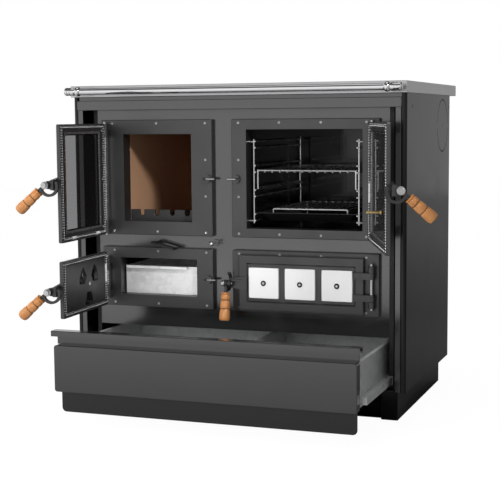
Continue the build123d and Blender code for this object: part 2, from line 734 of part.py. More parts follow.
def frame_screw_places(way):
    """Screw positions in two rows, and down the column at the door's free edge."""
    low, high = way.z[0] + SCREW_EDGE, way.z[1] - SCREW_EDGE
    if way.side > 0:
        free = way.x[0] + SCREW_INSET
        columns = [free + SCREW_PITCH_RIGHT * i for i in range(3)] + [way.x[1] - HINGE_SCREW_INSET]
    else:
        free = way.x[1] - SCREW_INSET
        columns = [free, free - SCREW_PITCH_LEFT, way.x[0] + HINGE_SCREW_INSET]
    places = [(x, z) for x in columns for z in (low, high)]
    rows = 4 if way.height > TALL_FRAME else 2
    return places + [(free, low + (high - low) * i / (rows - 1)) for i in range(1, rows - 1)]


def frame_screws():
    """Sunk screws that hold the frames, their heads all but level with the cast face."""
    front, back = FRAME_FACE - SCREW_HEAD, FRAME_FACE + SCREW_DEPTH
    screws = []
    for way in doorways:
        for x, z in frame_screw_places(way):
            screws.append(rod((x, front, z), (x, back, z), SCREW_RADIUS, 8))
    return group(screws)


def steel_pins():
    """The long hinge pins and the short sideways keeper pins of the four doorways."""
    pins = []
    for way in doorways:
        lugs = way.knuckles()[0]
        low = min(lug[0] for lug in lugs) - PIN_TIP
        high = max(lug[1] for lug in lugs) + PIN_TIP
        pin = rod((0, 0, low), (0, 0, high), HINGE_PIN_RADIUS)
        pins.append(way.fixed(chamfer(pin.edges(), 1.0)))
        edge = way.reach + DOOR_EDGE_GAP
        z = way.keeper_z
        keeper = rod((edge - KEEPER_BURIED, KEEPER_Y, z), (edge + KEEPER_REACH, KEEPER_Y, z), KEEPER_RADIUS)
        pins.append(way.fixed(keeper))
    return group(pins)


def hob_frame():
    """Stainless surround: an outer wall with a top lip and a bottom flange."""
    y = (-HOB_OVERHANG, HOB_BACK)
    body = block((-HOB_HALF, HOB_HALF), y, (HOB_FRAME_BOTTOM, HEIGHT))
    well = block(
        (-HOB_HALF + HOB_SHEET, HOB_HALF - HOB_SHEET), (y[0] + HOB_SHEET, y[1] - HOB_SHEET),
        (HOB_FRAME_BOTTOM + HOB_SHEET, HEIGHT - HOB_SHEET),
    )
    mouth = block(
        (-HOB_HALF + HOB_LIP, HOB_HALF - HOB_LIP), (y[0] + HOB_LIP, y[1] - HOB_LIP),
        (HEIGHT - HOB_SHEET - 1, HEIGHT + 1),
    )
    floor = block(
        (-HOB_HALF + HOB_FLANGE, HOB_HALF - HOB_FLANGE), (y[0] + HOB_FLANGE, y[1] - HOB_FLANGE),
        (HOB_FRAME_BOTTOM - 1, HOB_FRAME_BOTTOM + HOB_SHEET + 1),
    )
    return body - well - mouth - floor


def hob_plate():
    """Cast hob plate on a skirt, with the stepped seat for the round lid."""
    gap = HOB_LIP + HOB_GAP
    x = (-HOB_HALF + gap, HOB_HALF - gap)
    y = (-HOB_OVERHANG + gap, HOB_BACK - gap)
    plate = block(x, y, (HEIGHT - HOB_PLATE_THICK, HEIGHT))
    skirt = block(x, y, (HOB_FRAME_BOTTOM + HOB_SHEET, HEIGHT - HOB_PLATE_THICK))
    skirt -= block(
        (x[0] + HOB_SKIRT, x[1] - HOB_SKIRT), (y[0] + HOB_SKIRT, y[1] - HOB_SKIRT), (HOB_FRAME_BOTTOM, HEIGHT)
    )
    plate += skirt
    seat = (firebox_middle(), lid_y())
    plate -= Pos(*seat, HEIGHT - HOB_LID_THICK / 2 + 0.5) * Cylinder(HOB_LID_RADIUS + FIT, HOB_LID_THICK + 1)
    plate -= Pos(*seat, HEIGHT - HOB_PLATE_THICK) * Cylinder(HOB_LID_RADIUS - LID_LEDGE, 2 * HOB_PLATE_THICK)
    return plate


def lid_y():
    """Middle of the cooking lid, above the middle of the fire."""
    return grate_middle_y() - LID_FORWARD


def hob_lid():
    """Round cooking lid with a blind slot for the lifting tool."""
    lid = Pos(firebox_middle(), lid_y(), HEIGHT - HOB_LID_THICK / 2) * Cylinder(HOB_LID_RADIUS, HOB_LID_THICK)
    plane = Plane(origin=(firebox_middle(), lid_y() - HOB_LID_RADIUS / 2, HEIGHT))
    return lid - extrude(plane * SlotOverall(LID_SLOT_LENGTH, LID_SLOT_WIDTH), -HOB_LID_THICK / 2)


def towel_rail():
    """Chrome rail with two ring brackets and two ringed end caps, all on one line."""
    y = -HOB_OVERHANG - RAIL_FORWARD
    z = HEIGHT - RAIL_DROP
    half = RAIL_BRACKET_WIDTH / 2
    pieces = [rod((-RAIL_BRACKET_X + half, y, z), (RAIL_BRACKET_X - half, y, z), RAIL_RADIUS)]
    for sign in (-1, 1):
        ends = sorted((sign * (RAIL_BRACKET_X - half), sign * (RAIL_BRACKET_X + half)))
        eye = chamfer(rod((ends[0], y, z), (ends[1], y, z), RAIL_BRACKET_RADIUS).edges(), RAIL_BRACKET_EDGE)
        stem = rod((sign * RAIL_BRACKET_X, y, z), (sign * RAIL_BRACKET_X, -HOB_OVERHANG, z), RAIL_STEM)
        pieces.append(eye + stem)
        cap_ends = sorted((sign * (RAIL_BRACKET_X + half), sign * RAIL_END))
        cap = rod((cap_ends[0], y, z), (cap_ends[1], y, z), RAIL_CAP_RADIUS)
        tip = cap.edges().sort_by(Axis.X)[-1 if sign > 0 else 0]
        cap = chamfer(tip, RAIL_CAP_EDGE)
        for at in RAIL_CAP_RINGS:
            x = sign * (RAIL_BRACKET_X + half + at * (RAIL_END - RAIL_BRACKET_X - half))
            ends = (x - RAIL_CAP_RING / 2, y, z), (x + RAIL_CAP_RING / 2, y, z)
            cap -= rod(*ends, 2 * RAIL_CAP_RADIUS) - rod(*ends, RAIL_CAP_RADIUS - RAIL_CAP_RING_DEPTH)
        pieces.append(cap)
    return group(pieces)


def rear_panel():
    """Back sheet with the hole of the flue outlet."""
    panel = block((-CORE_HALF, CORE_HALF), (BACK_Y, CORE_BACK), (CASE_BOTTOM, CORE_TOP))
    return panel - flue_pipe((BACK_Y - 1, CORE_BACK + 1), FLUE_RADIUS - SHEET)


def flue_pipe(y, radius):
    """A round bar along the flue outlet's axis."""
    return rod((FLUE_X, y[0], FLUE_HEIGHT), (FLUE_X, y[1], FLUE_HEIGHT), radius)


def flue_collar():
    """Flanged spigot that takes the flue pipe."""
    end = CORE_BACK + FLUE_LENGTH
    collar = flue_pipe((CORE_BACK, end), FLUE_RADIUS)
    collar += flue_pipe((CORE_BACK, CORE_BACK + FLUE_FLANGE_THICK), FLUE_RADIUS + FLUE_FLANGE)
    return collar - flue_pipe((CORE_BACK - 1, end + 1), FLUE_RADIUS - SHEET)


def plinth():
    """Recessed base tray: four walls, short front returns and a floor that is set back."""
    half = PLINTH_HALF
    body = block((-half, half), (PLINTH_FRONT, PLINTH_BACK), (0, CASE_BOTTOM))
    body -= block(
        (-half + SHEET, half - SHEET), (PLINTH_FRONT + SHEET, PLINTH_BACK - SHEET), (SHEET, CASE_BOTTOM + 1)
    )
    mouth = half - PLINTH_RETURN
    body -= block((-mouth, mouth), (PLINTH_FRONT - 1, PLINTH_FRONT + SHEET + 1), (SHEET, CASE_BOTTOM + 1))
    return body - block((-mouth, mouth), (PLINTH_FRONT - 1, PLINTH_FRONT + PLINTH_SETBACK), (-1, SHEET + 1))


def brick_faces():
    """Inner faces of the side bricks across the fire."""
    return firebox.opening_x[0] - BRICK_SETBACK, firebox.opening_x[1]


def brick_outside():
    """Outer faces of the side bricks, and the outer face of the rear ones."""
    x = brick_faces()
    return (x[0] - BRICK_THICK, x[1] + BRICK_THICK), BRICK_FRONT + FIREBOX_DEPTH + BRICK_THICK


def firebox_shell():
    """Steel box round the bricks, open on top and to the front, with a ledge for the grate bed."""
    (x0, x1), back = brick_outside()
    bottom = GRATE_TOP - GRATE_THICK
    box = block((x0 - SHEET, x1 + SHEET), (PLATE_BACK, back + SHEET), (bottom - SHEET, BRICK_TOP))
    box -= block((x0, x1), (PLATE_BACK - 1, back), (bottom, BRICK_TOP + 1))
    x = (x0 + SHELL_RIM, x1 - SHELL_RIM)
    return box - block(x, (PLATE_BACK - 1, back - SHELL_RIM), (bottom - SHEET - 1, bottom + 1))


def firebricks():
    """Six loose fire bricks: two on each side and two at the back."""
    x0, x1 = brick_faces()
    (left, right), outside = brick_outside()
    z = (GRATE_TOP, BRICK_TOP)
    back = BRICK_FRONT + FIREBOX_DEPTH
    joint = BRICK_FRONT + BRICK_LENGTH
    middle = (x0 + x1) / 2
    bricks = []
    for low, high in ((BRICK_FRONT, joint - BRICK_JOINT / 2), (joint + BRICK_JOINT / 2, outside)):
        bricks.append(block((left, x0), (low, high), z))
        bricks.append(block((x1, right), (low, high), z))
    for low, high in ((x0, middle - BRICK_JOINT / 2), (middle + BRICK_JOINT / 2, x1)):
        bricks.append(block((low, high), (back, outside), z))
    return group(bricks)


def log_bar():
    """Upright cast bar with round-bottomed notches behind the firebox opening."""
    x = (brick_faces()[0] + LOG_BAR_PLAY, brick_faces()[1] - LOG_BAR_PLAY)
    y = (BRICK_FRONT, BRICK_FRONT + LOG_BAR_THICK)
    top = GRATE_TOP + LOG_BAR_HEIGHT
    bar = block(x, y, (GRATE_TOP, top))
    for i in range(LOG_BAR_NOTCHES):
        at = firebox_middle() + (i - (LOG_BAR_NOTCHES - 1) / 2) * LOG_BAR_PITCH
        bottom = top - NOTCH_DEPTH + NOTCH_WIDTH / 2
        notch = block((at - NOTCH_WIDTH / 2, at + NOTCH_WIDTH / 2), (y[0] - 1, y[1] + 1), (bottom, top + 1))
        bar -= notch + rod((at, y[0] - 1, bottom), (at, y[1] + 1, bottom), NOTCH_WIDTH / 2)
    return bar


def grate_middle_y():
    """Middle of the sliding grate from front to back."""
    return BRICK_FRONT + FIREBOX_DEPTH / 2


def bottom_grate():
    """Fixed cast bed with a stepped opening for the sliding grate."""
    x, back = brick_outside()
    bed = block(x, (BRICK_FRONT, back), (GRATE_TOP - GRATE_THICK, GRATE_TOP))
    half = SHAKER_WIDTH / 2 + finger_offset() + SHAKER_PLAY
    length = SHAKER_LENGTH / 2 + SHAKER_PLAY
    cx, cy = firebox_middle(), grate_middle_y()
    low = GRATE_TOP - SHAKER_THICK - FIT
    bed -= block((cx - half, cx + half), (cy - length, cy + length), (low, GRATE_TOP + 1))
    half -= SHAKER_LEDGE
    length -= SHAKER_LEDGE
    return bed - block((cx - half, cx + half), (cy - length, cy + length), (0, GRATE_TOP))


def finger_height():
    """Height above the lever's axis at which its finger meets the grate."""
    return GRATE_TOP - SHAKER_THICK + FINGER_DEPTH / 2 - LEVER_HEIGHT


def finger_offset():
    """Sideways reach of the lever's finger at either end of its swing."""
    return finger_height() * tan(radians(LEVER_SWING / 2))


def shaker_grate():
    """Slotted sliding grate with a socket for the lever's finger, at the right end of its way."""
    cx, cy = firebox_middle() + finger_offset(), grate_middle_y()
    z = (GRATE_TOP - SHAKER_THICK, GRATE_TOP)
    half, length = SHAKER_WIDTH / 2, SHAKER_LENGTH / 2
    grate = block((cx - half, cx + half), (cy - length, cy + length), z)
    pitch = SHAKER_LENGTH / SHAKER_SLOTS
    for i in range(SHAKER_SLOTS):
        if i == SHAKER_SLOTS // 2:
            continue
        y = cy + (i - (SHAKER_SLOTS - 1) / 2) * pitch
        slot = SlotOverall(SHAKER_WIDTH - 2 * SHAKER_BORDER, SHAKER_SLOT_WIDTH)
        grate -= extrude(Plane(origin=(cx, y, z[0] - 1)) * slot, SHAKER_THICK + 2)
    wide = FINGER_RADIUS + FINGER_PLAY
    long = FINGER_RADIUS + 2 * FINGER_PLAY
    socket = (z[0] - 1, z[1] - 2)
    return grate - block((cx - wide, cx + wide), (cy - long, cy + long), socket)


def shaker_lever():
    """Tilted paddle on a long rod, with the arm that moves the grate."""
    x, z = firebox_middle(), LEVER_HEIGHT
    half = LEVER_THICK / 2
    paddle = block(
        (-LEVER_HEEL, LEVER_WIDTH - LEVER_HEEL), (LEVER_FRONT, LEVER_FRONT + LEVER_DEPTH), (-half, half)
    )
    paddle = Pos(x, 0, z) * Rot(0, LEVER_TILT, 0) * paddle
    arm_y = grate_middle_y()
    lever = paddle + rod((x, LEVER_FRONT + LEVER_THICK, z), (x, arm_y + LEVER_OVERRUN, z), LEVER_ROD)
    rise = finger_height() + FINGER_DEPTH / 2
    tip = (x + rise * tan(radians(LEVER_SWING / 2)), arm_y, z + rise)
    return lever + rod((x, arm_y, z), tip, FINGER_RADIUS)


def air_knob():
    """Round knob on a rod, with the damper plate behind the front plate."""
    front = CORE_FRONT - KNOB_STANDOUT
    knob = Pos(KNOB_X, front, KNOB_Z) * Sphere(KNOB_RADIUS)
    end = PLATE_BACK + KNOB_INSIDE
    knob += rod((KNOB_X, front, KNOB_Z), (KNOB_X, end, KNOB_Z), KNOB_ROD)
    return knob + rod((KNOB_X, end - DAMPER_THICK, KNOB_Z), (KNOB_X, end, KNOB_Z), DAMPER_RADIUS)


def ash_pan():
    """Folded pan with a finger lip along the front."""
    x = (ash.opening_x[0] + PAN_CLEAR, ash.opening_x[1] - PAN_CLEAR)
    y = (PAN_FRONT, PAN_FRONT + PAN_DEPTH)
    z = (ash.opening_z[0] + FIT, ash.opening_z[0] + PAN_HEIGHT)
    pan = block(x, y, z)
    pan -= block(
        (x[0] + PAN_SHEET, x[1] - PAN_SHEET), (y[0] + PAN_SHEET, y[1] - PAN_SHEET), (z[0] + PAN_SHEET, z[1] + 1)
    )
    lip = (x[0] + PAN_LIP_LEFT, x[1] - PAN_LIP_RIGHT)
    front = y[0] - PAN_LIP_DEPTH
    pan += block(lip, (front, y[0]), (z[1] - PAN_SHEET, z[1]))
    return pan + block(lip, (front, front + PAN_SHEET), (z[1] - PAN_LIP_DROP, z[1]))


def oven_inside():
    """Inner faces of the oven box across and up."""
    x = (oven.opening_x[0] - OVEN_MARGIN, oven.opening_x[1] + OVEN_MARGIN)
    z = (oven.opening_z[0] - OVEN_MARGIN, oven.opening_z[1] + OVEN_MARGIN)
    return x, z


def oven_box():
    """Enamelled five-sided box behind the oven frame's collar."""
    x, z = oven_inside()
    front = CORE_FRONT + FRAME_COLLAR
    back = PLATE_BACK + OVEN_DEPTH
    box = block((x[0] - SHEET, x[1] + SHEET), (front, back), (z[0] - SHEET, z[1] + SHEET))
    return box - block(x, (front - 1, back - SHEET), z)


def rack_x():
    """Planes of the two side racks."""
    return oven.opening_x[0] + RACK_INSET, oven.opening_x[1] - RACK_INSET


def oven_racks():
    """Two wire side racks: uprights, paired rails inside them and stubs out to the oven walls."""
    x = oven_inside()[0]
    mouth = oven.opening_x
    racks = []
    for plane, walls, sign in zip(rack_x(), ((mouth[0], x[0]), (mouth[1], x[1])), (1, -1)):
        rack = Part()
        rail = plane + sign * RAIL_SET
        for y in (RACK_FRONT, RACK_BACK):
            rack += rod((plane, y, RACK_BOTTOM), (plane, y, RACK_TOP), RACK_WIRE, 6)
        for level in range(RACK_LEVELS):
            for lift in (0, RAIL_PAIR):
                height = RACK_FIRST + level * RACK_PITCH + lift
                ends = (RACK_FRONT - RAIL_OVERHANG, RACK_BACK + RAIL_OVERHANG)
                rack += rod((rail, ends[0], height), (rail, ends[1], height), RACK_WIRE, 6)
        for y, wall in zip((RACK_FRONT, RACK_BACK), walls):
            for height in (RACK_BOTTOM + 3 * RACK_WIRE, RACK_TOP - 3 * RACK_WIRE):
                rack += rod((plane, y, height), (wall, y, height), RACK_WIRE, 6)
        racks.append(rack)
    return group(racks)


def shelf_sides():
    """Side bars of the sliding shelf, just inside the racks' rails."""
    left, right = rack_x()
    inside = RAIL_SET + RACK_WIRE + 2 * FIT + SHELF_WIRE
    return left + inside, right - inside


def rail_seat():
    """Outer limits of what rides on the rails, clear of the racks' uprights."""
    left, right = rack_x()
    inside = RACK_WIRE + 2 * FIT
    return left + inside, right - inside


def shelf_level():
    """Height of the shelf's side runners, lying on the second pair of rails."""
    return RACK_FIRST + SHELF_LEVEL * RACK_PITCH + RAIL_PAIR + RACK_WIRE + SHELF_WIRE + FIT


def oven_shelf():
    """Wire shelf: side runners, four risers and a raised platform of parallel wires."""
    level = shelf_level()
    top = level + SHELF_RISE
    front, back = SHELF_FRONT, SHELF_FRONT + SHELF_DEPTH
    inner = shelf_sides()
    shelf = Part()
    for seat, side in zip(rail_seat(), inner):
        for height in (level, top):
            shelf += rod((side, front, height), (side, back, height), SHELF_WIRE, 6)
        for y in (front, back):
            shelf += rod((side, y, level), (side, y, top), SHELF_WIRE, 6)
        for y in (front + 4 * SHELF_WIRE, back - 4 * SHELF_WIRE):
            shelf += rod((seat, y, level), (side, y, level), SHELF_WIRE, 6)
    for y in (front, back):
        shelf += rod((inner[0], y, top), (inner[1], y, top), SHELF_WIRE, 6)
    for i in range(1, SHELF_BARS + 1):
        x = inner[0] + (inner[1] - inner[0]) * i / (SHELF_BARS + 1)
        shelf += rod((x, front, top + THIN_WIRE), (x, back, top + THIN_WIRE), THIN_WIRE, 6)
    return shelf


def tray_level():
    """Underside of the tray's rim, on the lowest pair of rails."""
    return RACK_FIRST + RAIL_PAIR + RACK_WIRE + FIT


def tray_plan():
    """Width and depth of the tray over its rim, inside the rim and across its floor."""
    seat = rail_seat()
    width = seat[1] - seat[0]
    rail = RAIL_SET + 2 * FIT
    well = (width - 2 * (TRAY_RIM + rail), TRAY_DEPTH - 2 * TRAY_RIM)
    return (width, TRAY_DEPTH), well, (well[0] - 2 * TRAY_SLOPE, well[1] - 2 * TRAY_SLOPE)


def tray_middle():
    """Middle of the tray across and from front to back."""
    return (rack_x()[0] + rack_x()[1]) / 2, SHELF_FRONT + TRAY_DEPTH / 2


def flared_block(low, high, bottom, top):
    """A block about the tray's middle that widens from its lower to its upper plan."""
    cx, cy = tray_middle()
    plans = ((bottom, low), (top, high))
    return loft([(Plane(origin=(cx, cy, z)) * Rectangle(*plan)).face() for z, plan in plans], ruled=True)


def baking_tray():
    """Enamelled tray with sloping walls and a flat rim that rides on the rails."""
    rim, well, floor = tray_plan()
    level = tray_level()
    wall = 2 * TRAY_SHEET
    outer = flared_block(floor, well, level - TRAY_HEIGHT, level)
    inner = flared_block(
        (floor[0] - wall, floor[1] - wall), (well[0] - wall, well[1] - wall),
        level - TRAY_HEIGHT + TRAY_SHEET, level + TRAY_SHEET,
    )
    flange = extrude(Plane(origin=(*tray_middle(), level)) * Rectangle(*rim), TRAY_SHEET)
    return flange + outer - inner


def tray_grid():
    """Wire grid that stands on four feet in the tray."""
    floor = tray_plan()[2]
    margin = SHELF_WIRE + 2 * TRAY_SHEET + FIT
    cx, cy = tray_middle()
    x = (cx - floor[0] / 2 + margin, cx + floor[0] / 2 - margin)
    y_ends = (cy - floor[1] / 2 + margin, cy + floor[1] / 2 - margin)
    top = tray_level() + GRID_RISE
    foot = tray_level() - TRAY_HEIGHT + TRAY_SHEET + FIT
    grid = Part()
    for y in y_ends:
        grid += rod((x[0], y, top), (x[1], y, top), SHELF_WIRE, 6)
        for side in x:
            grid += rod((side, y, top), (side, y, foot), SHELF_WIRE, 6)
    for side in x:
        grid += rod((side, y_ends[0], top), (side, y_ends[1], top), SHELF_WIRE, 6)
    for i in range(1, GRID_BARS + 1):
        at = x[0] + (x[1] - x[0]) * i / (GRID_BARS + 1)
        grid += rod((at, y_ends[0], top + THIN_WIRE), (at, y_ends[1], top + THIN_WIRE), THIN_WIRE, 6)
    return grid


def hinge_arms(way):
    """The two arms that carry a door's knuckles across its front face."""
    arms = Part()
    for low, high in way.knuckles()[1]:
        arm = rod((0, 0, low), (0, 0, high), KNUCKLE_RADIUS)
        arm += block((0, ARM_LENGTH), (DOOR_OUTER - ARM_THICK, DOOR_OUTER), (low, high))
        arms += arm - rod((0, 0, low - 1), (0, 0, high + 1), HINGE_PIN_RADIUS + RUNNING_FIT)
    return arms


def claw_planes(way):
    """Near and far sides of the bracket's eye and of the claw, along u."""
    edge = way.reach + DOOR_EDGE_GAP
    return (edge - BRACKET_THICK, edge), (edge + CLAW_GAP, edge + CLAW_GAP + CLAW_THICK)


def handle_bracket(way):
    """Arm cast on the door's free edge: a bridge, a round eye and a stiffening rib."""
    edge = way.reach
    bracket, claw = claw_planes(way)
    z = way.pivot_z
    root = edge - BRACKET_BACK
    front = DOOR_OUTER - ARM_THICK
    spread = BRACKET_SPREAD
    end = spread - BRACKET_TAPER
    outline = Plane(origin=(0, DOOR_OUTER, z), x_dir=(1, 0, 0), z_dir=(0, -1, 0)) * Polygon(
        (root, -spread), (bracket[1], -end), (bracket[1], end), (root, spread), align=None
    )
    arm = extrude(outline, ARM_THICK) + rod((bracket[0], PIVOT_Y, z), (bracket[1], PIVOT_Y, z), BRACKET_EYE)
    cheek = Plane(origin=(bracket[0], 0, z), x_dir=(0, 1, 0), z_dir=(1, 0, 0)) * Polygon(
        (DOOR_OUTER, -end), (DOOR_OUTER, end), (PIVOT_Y, BRACKET_EYE), (PIVOT_Y, -BRACKET_EYE), align=None
    )
    arm += extrude(cheek, BRACKET_THICK)
    rib = Plane(origin=(0, 0, z + spread - RIB_DROP)) * Polygon(
        (root, front), (bracket[1], front), (bracket[1], PIVOT_Y), align=None
    )
    arm += extrude(rib, RIB_THICK)
    return arm - rod((bracket[0] - 1, PIVOT_Y, z), (claw[1], PIVOT_Y, z), PIVOT_RADIUS + PRESS_FIT)


def door_plate(way):
    """Plain door casting with its hinge arms, boss notch and bracket."""
    plate = slab((DOOR_START, way.reach), (DOOR_OUTER, DOOR_INNER), way.door_z, DOOR_CORNER)
    plate = chamfer(plate.faces().sort_by(Axis.Y)[0].edges(), DOOR_BEVEL)
    boss = way.reach + DOOR_EDGE_GAP - BOSS_INSET
    z = way.keeper_z
    plate -= rod((boss, DOOR_OUTER - 1, z), (boss, DOOR_INNER + 1, z), BOSS_RADIUS + BOSS_NOTCH)
    return plate + hinge_arms(way) + handle_bracket(way)


def door_border(way, inset, y, width, corner):
    """A flat ring that follows the door's outline at an even inset."""
    z = way.door_z
    return ring((DOOR_START + inset, way.reach - inset), y, (z[0] + inset, z[1] - inset), width, corner)


def door_rope(way):
    """Glass-fibre sealing rope, an unbroken ring that stands proud of its channel."""
    face = DOOR_INNER + SEAL_GAP - FIT
    inset = ROPE_INSET - ROPE_WIDTH / 2
    return door_border(way, inset, (face - ROPE_DEPTH, face), ROPE_WIDTH, ROPE_CORNER)


def seal_channel(way):
    """Channel round a door's inner face for the rope, a little wider than the rope."""
    bottom = DOOR_INNER + SEAL_GAP - FIT - ROPE_DEPTH
    width = ROPE_WIDTH + 2 * ROPE_PLAY
    return door_border(way, ROPE_INSET - width / 2, (bottom, DOOR_INNER + 1), width, ROPE_CORNER)


def window(way):
    """Clear opening of a glazed door, as its range along u and up."""
    z = way.door_z
    u = (DOOR_START + WINDOW_HINGE_BORDER, way.reach - WINDOW_FREE_BORDER)
    return u, (z[0] + WINDOW_BOTTOM_BORDER, z[1] - WINDOW_TOP_BORDER)


def flared_cut(u, z, bottom, depth):
    """A rectangular cut that widens at 45 degrees towards the door's outer face."""
    plane = Plane(origin=((u[0] + u[1]) / 2, bottom, (z[0] + z[1]) / 2), x_dir=(1, 0, 0), z_dir=(0, -1, 0))
    return extrude(plane * Rectangle(u[1] - u[0], z[1] - z[0]), depth, taper=-45)


def glazed_door(way):
    """Door casting with a bevelled window and a recess for the pane."""
    u, z = window(way)
    door = door_plate(way) - seal_channel(way) - slab(u, (DOOR_OUTER - 1, DOOR_INNER + 1), z, WINDOW_CORNER)
    door -= flared_cut(u, z, DOOR_OUTER + WINDOW_BEVEL, WINDOW_BEVEL + FIT)
    recess = (u[0] - GLASS_LAP, u[1] + GLASS_LAP), (z[0] - GLASS_LAP, z[1] + GLASS_LAP)
    depth = GLASS_THICK + RETAINER_THICK + FIT
    return door - slab(recess[0], (DOOR_INNER - depth, DOOR_INNER + 1), recess[1], WINDOW_CORNER)


def pane_y():
    """Outer and inner faces of a door's pane."""
    return DOOR_INNER - RETAINER_THICK - GLASS_THICK, DOOR_INNER - RETAINER_THICK


def door_glass(way):
    """Heat-proof pane in its recess."""
    u, z = window(way)
    lap = GLASS_LAP - 2 * FIT
    return slab((u[0] - lap, u[1] + lap), pane_y(), (z[0] - lap, z[1] + lap), WINDOW_CORNER)


def glass_retainer(way):
    """Bright strip frame that holds the pane."""
    u, z = window(way)
    lap = GLASS_LAP - FIT
    return ring(
        (u[0] - lap, u[1] + lap), (DOOR_INNER - RETAINER_THICK, DOOR_INNER), (z[0] - lap, z[1] + lap),
        RETAINER_WIDTH, WINDOW_CORNER,
    )


def pivot_bolt(way):
    """Shoulder bolt of the handle, with washer and hexagon head."""
    bracket, claw = claw_planes(way)
    z = way.pivot_z
    washer = claw[1] + FIT
    head = washer + WASHER_THICK
    bolt = rod((bracket[0] - BOLT_TIP, PIVOT_Y, z), (head, PIVOT_Y, z), PIVOT_RADIUS)
    bolt += rod((washer, PIVOT_Y, z), (head, PIVOT_Y, z), WASHER_RADIUS)
    return bolt + rod((head, PIVOT_Y, z), (head + BOLT_HEAD, PIVOT_Y, z), BOLT_ACROSS / 3 ** 0.5, 6)


def turned_handle(way, piece):
    """Moves a piece made about the bolt, grip pointing forward, to the handle's angle."""
    return Pos(0, PIVOT_Y, way.pivot_z) * Rot(way.handle_angle, 0, 0) * piece


def claw(way):
    """Cast claw: hub, round hook that closes behind the keeper pin, and tang for the grip."""
    near, far = claw_planes(way)[1]
    plane = Plane(origin=(near, 0, 0), x_dir=(0, 1, 0), z_dir=(1, 0, 0))
    cy = CLAW_OFFSET * cos(radians(CLAW_OFFSET_ANGLE))
    cz = CLAW_OFFSET * sin(radians(CLAW_OFFSET_ANGLE))
    outer = CLAW_INNER + CLAW_WALL
    span = CLAW_END - CLAW_START
    start, end = radians(CLAW_START), radians(CLAW_END)
    outline = [CenterArc((cy, cz), radius, CLAW_START, span) for radius in (outer, CLAW_INNER)]
    for turn in (start, end):
        outline.append(Line(*[(cy + r * cos(turn), cz + r * sin(turn)) for r in (outer, CLAW_INNER)]))
    hook = make_face(Curve() + outline)
    middle = CLAW_INNER + CLAW_WALL / 2
    tip = Pos(cy + middle * cos(end), cz + middle * sin(end)) * Circle(CLAW_WALL / 2)
    arm = Pos(-GRIP_START / 2, 0) * Rectangle(GRIP_START, 2 * TANG_RADIUS)
    profile = hook + tip + Circle(CLAW_HUB) + arm
    body = extrude(plane * profile, CLAW_THICK)
    middle_x = (near + far) / 2
    body += rod((middle_x, -TANG_START, 0), (middle_x, -TANG_END, 0), TANG_RADIUS)
    body -= rod((near - 1, 0, 0), (far + 1, 0, 0), PIVOT_RADIUS + RUNNING_FIT)
    return turned_handle(way, body)


def grip(way):
    """Turned wooden grip: a top rim, a slim neck, two grooves and a swelling, rounded base."""
    near, far = claw_planes(way)[1]
    middle = (near + far) / 2
    end = GRIP_START + GRIP_LENGTH
    profile = [(0, GRIP_START), (GRIP_TOP, GRIP_START), (GRIP_TOP, GRIP_START + GRIP_RIM)]
    profile.append((GRIP_NECK, GRIP_START + 1.5 * GRIP_RIM))
    for part_way in GRIP_GROOVES:
        radius = GRIP_NECK + (GRIP_BASE - GRIP_NECK) * part_way
        at = GRIP_START + part_way * GRIP_LENGTH
        profile += [(radius, at - GRIP_GROOVE), (radius - GRIP_GROOVE, at), (radius, at + GRIP_GROOVE)]
    profile += [(GRIP_BASE, end - 2 * GRIP_RIM), (GRIP_BASE - GRIP_RIM, end), (0, end)]
    section = Plane(origin=(middle, 0, 0)) * Polygon(*[(r, -s) for r, s in profile], align=None)
    body = revolve(section, Axis((middle, 0, 0), (0, 1, 0)))
    body -= rod((middle, 0, 0), (middle, -TANG_END - 1, 0), TANG_RADIUS + PRESS_FIT)
    return turned_handle(way, body)


def ash_door():
    """Solid ash door with its seal channel and the air cuts behind the disc."""
    cuts = rosette_cuts((DOOR_OUTER - 1, DOOR_INNER + 1), 0)
    return door_plate(ash) - seal_channel(ash) - cuts - rosette_bolt_hole()


def rosette_cuts(y, turn):
    """Air cuts: wide curved gates with rounded corners, evenly spaced round the disc's middle."""
    plane = Plane(origin=(ROSETTE_U, y[1], ash.middle_z), x_dir=(1, 0, 0), z_dir=(0, -1, 0))
    radii = (ROSETTE_SLOT_INNER, ROSETTE_SLOT_OUTER)
    cut = Sketch()
    for i in range(ROSETTE_BLADES):
        low = ROSETTE_SLOT_START + turn + 360 / ROSETTE_BLADES * i
        outline = [CenterArc((0, 0), radius, low, ROSETTE_SLOT_SPAN) for radius in radii]
        for angle in (radians(low), radians(low + ROSETTE_SLOT_SPAN)):
            outline.append(Line(*[(r * cos(angle), r * sin(angle)) for r in radii]))
        gate = make_face(Curve() + outline)
        cut += fillet(gate.vertices(), ROSETTE_SLOT_CORNER)
    return extrude(plane * cut, y[1] - y[0])


def rosette_bolt_hole():
    """Bore for the disc's spindle."""
    z = ash.middle_z
    y = (DOOR_OUTER - 2 * DOOR_THICK, DOOR_INNER + DOOR_THICK)
    return rod((ROSETTE_U, y[0], z), (ROSETTE_U, y[1], z), SPINDLE_RADIUS + RUNNING_FIT)


def air_rosette():
    """Turning air disc outside the ash door, with its knob, left a third open."""
    y = (DOOR_OUTER - ROSETTE_THICK - FIT, DOOR_OUTER - FIT)
    z = ash.middle_z
    disc = rod((ROSETTE_U, y[0], z), (ROSETTE_U, y[1], z), ROSETTE_RADIUS)
    disc -= rosette_cuts((y[0] - 1, y[1] + 1), ROSETTE_TURNED)
    turn = radians(90 + ROSETTE_TURNED)
    knob = (ROSETTE_U + ROSETTE_KNOB_RISE * cos(turn), z + ROSETTE_KNOB_RISE * sin(turn))
    disc += rod((knob[0], y[0] - ROSETTE_KNOB_LENGTH, knob[1]), (knob[0], y[0], knob[1]), ROSETTE_KNOB)
    return disc - rosette_bolt_hole()


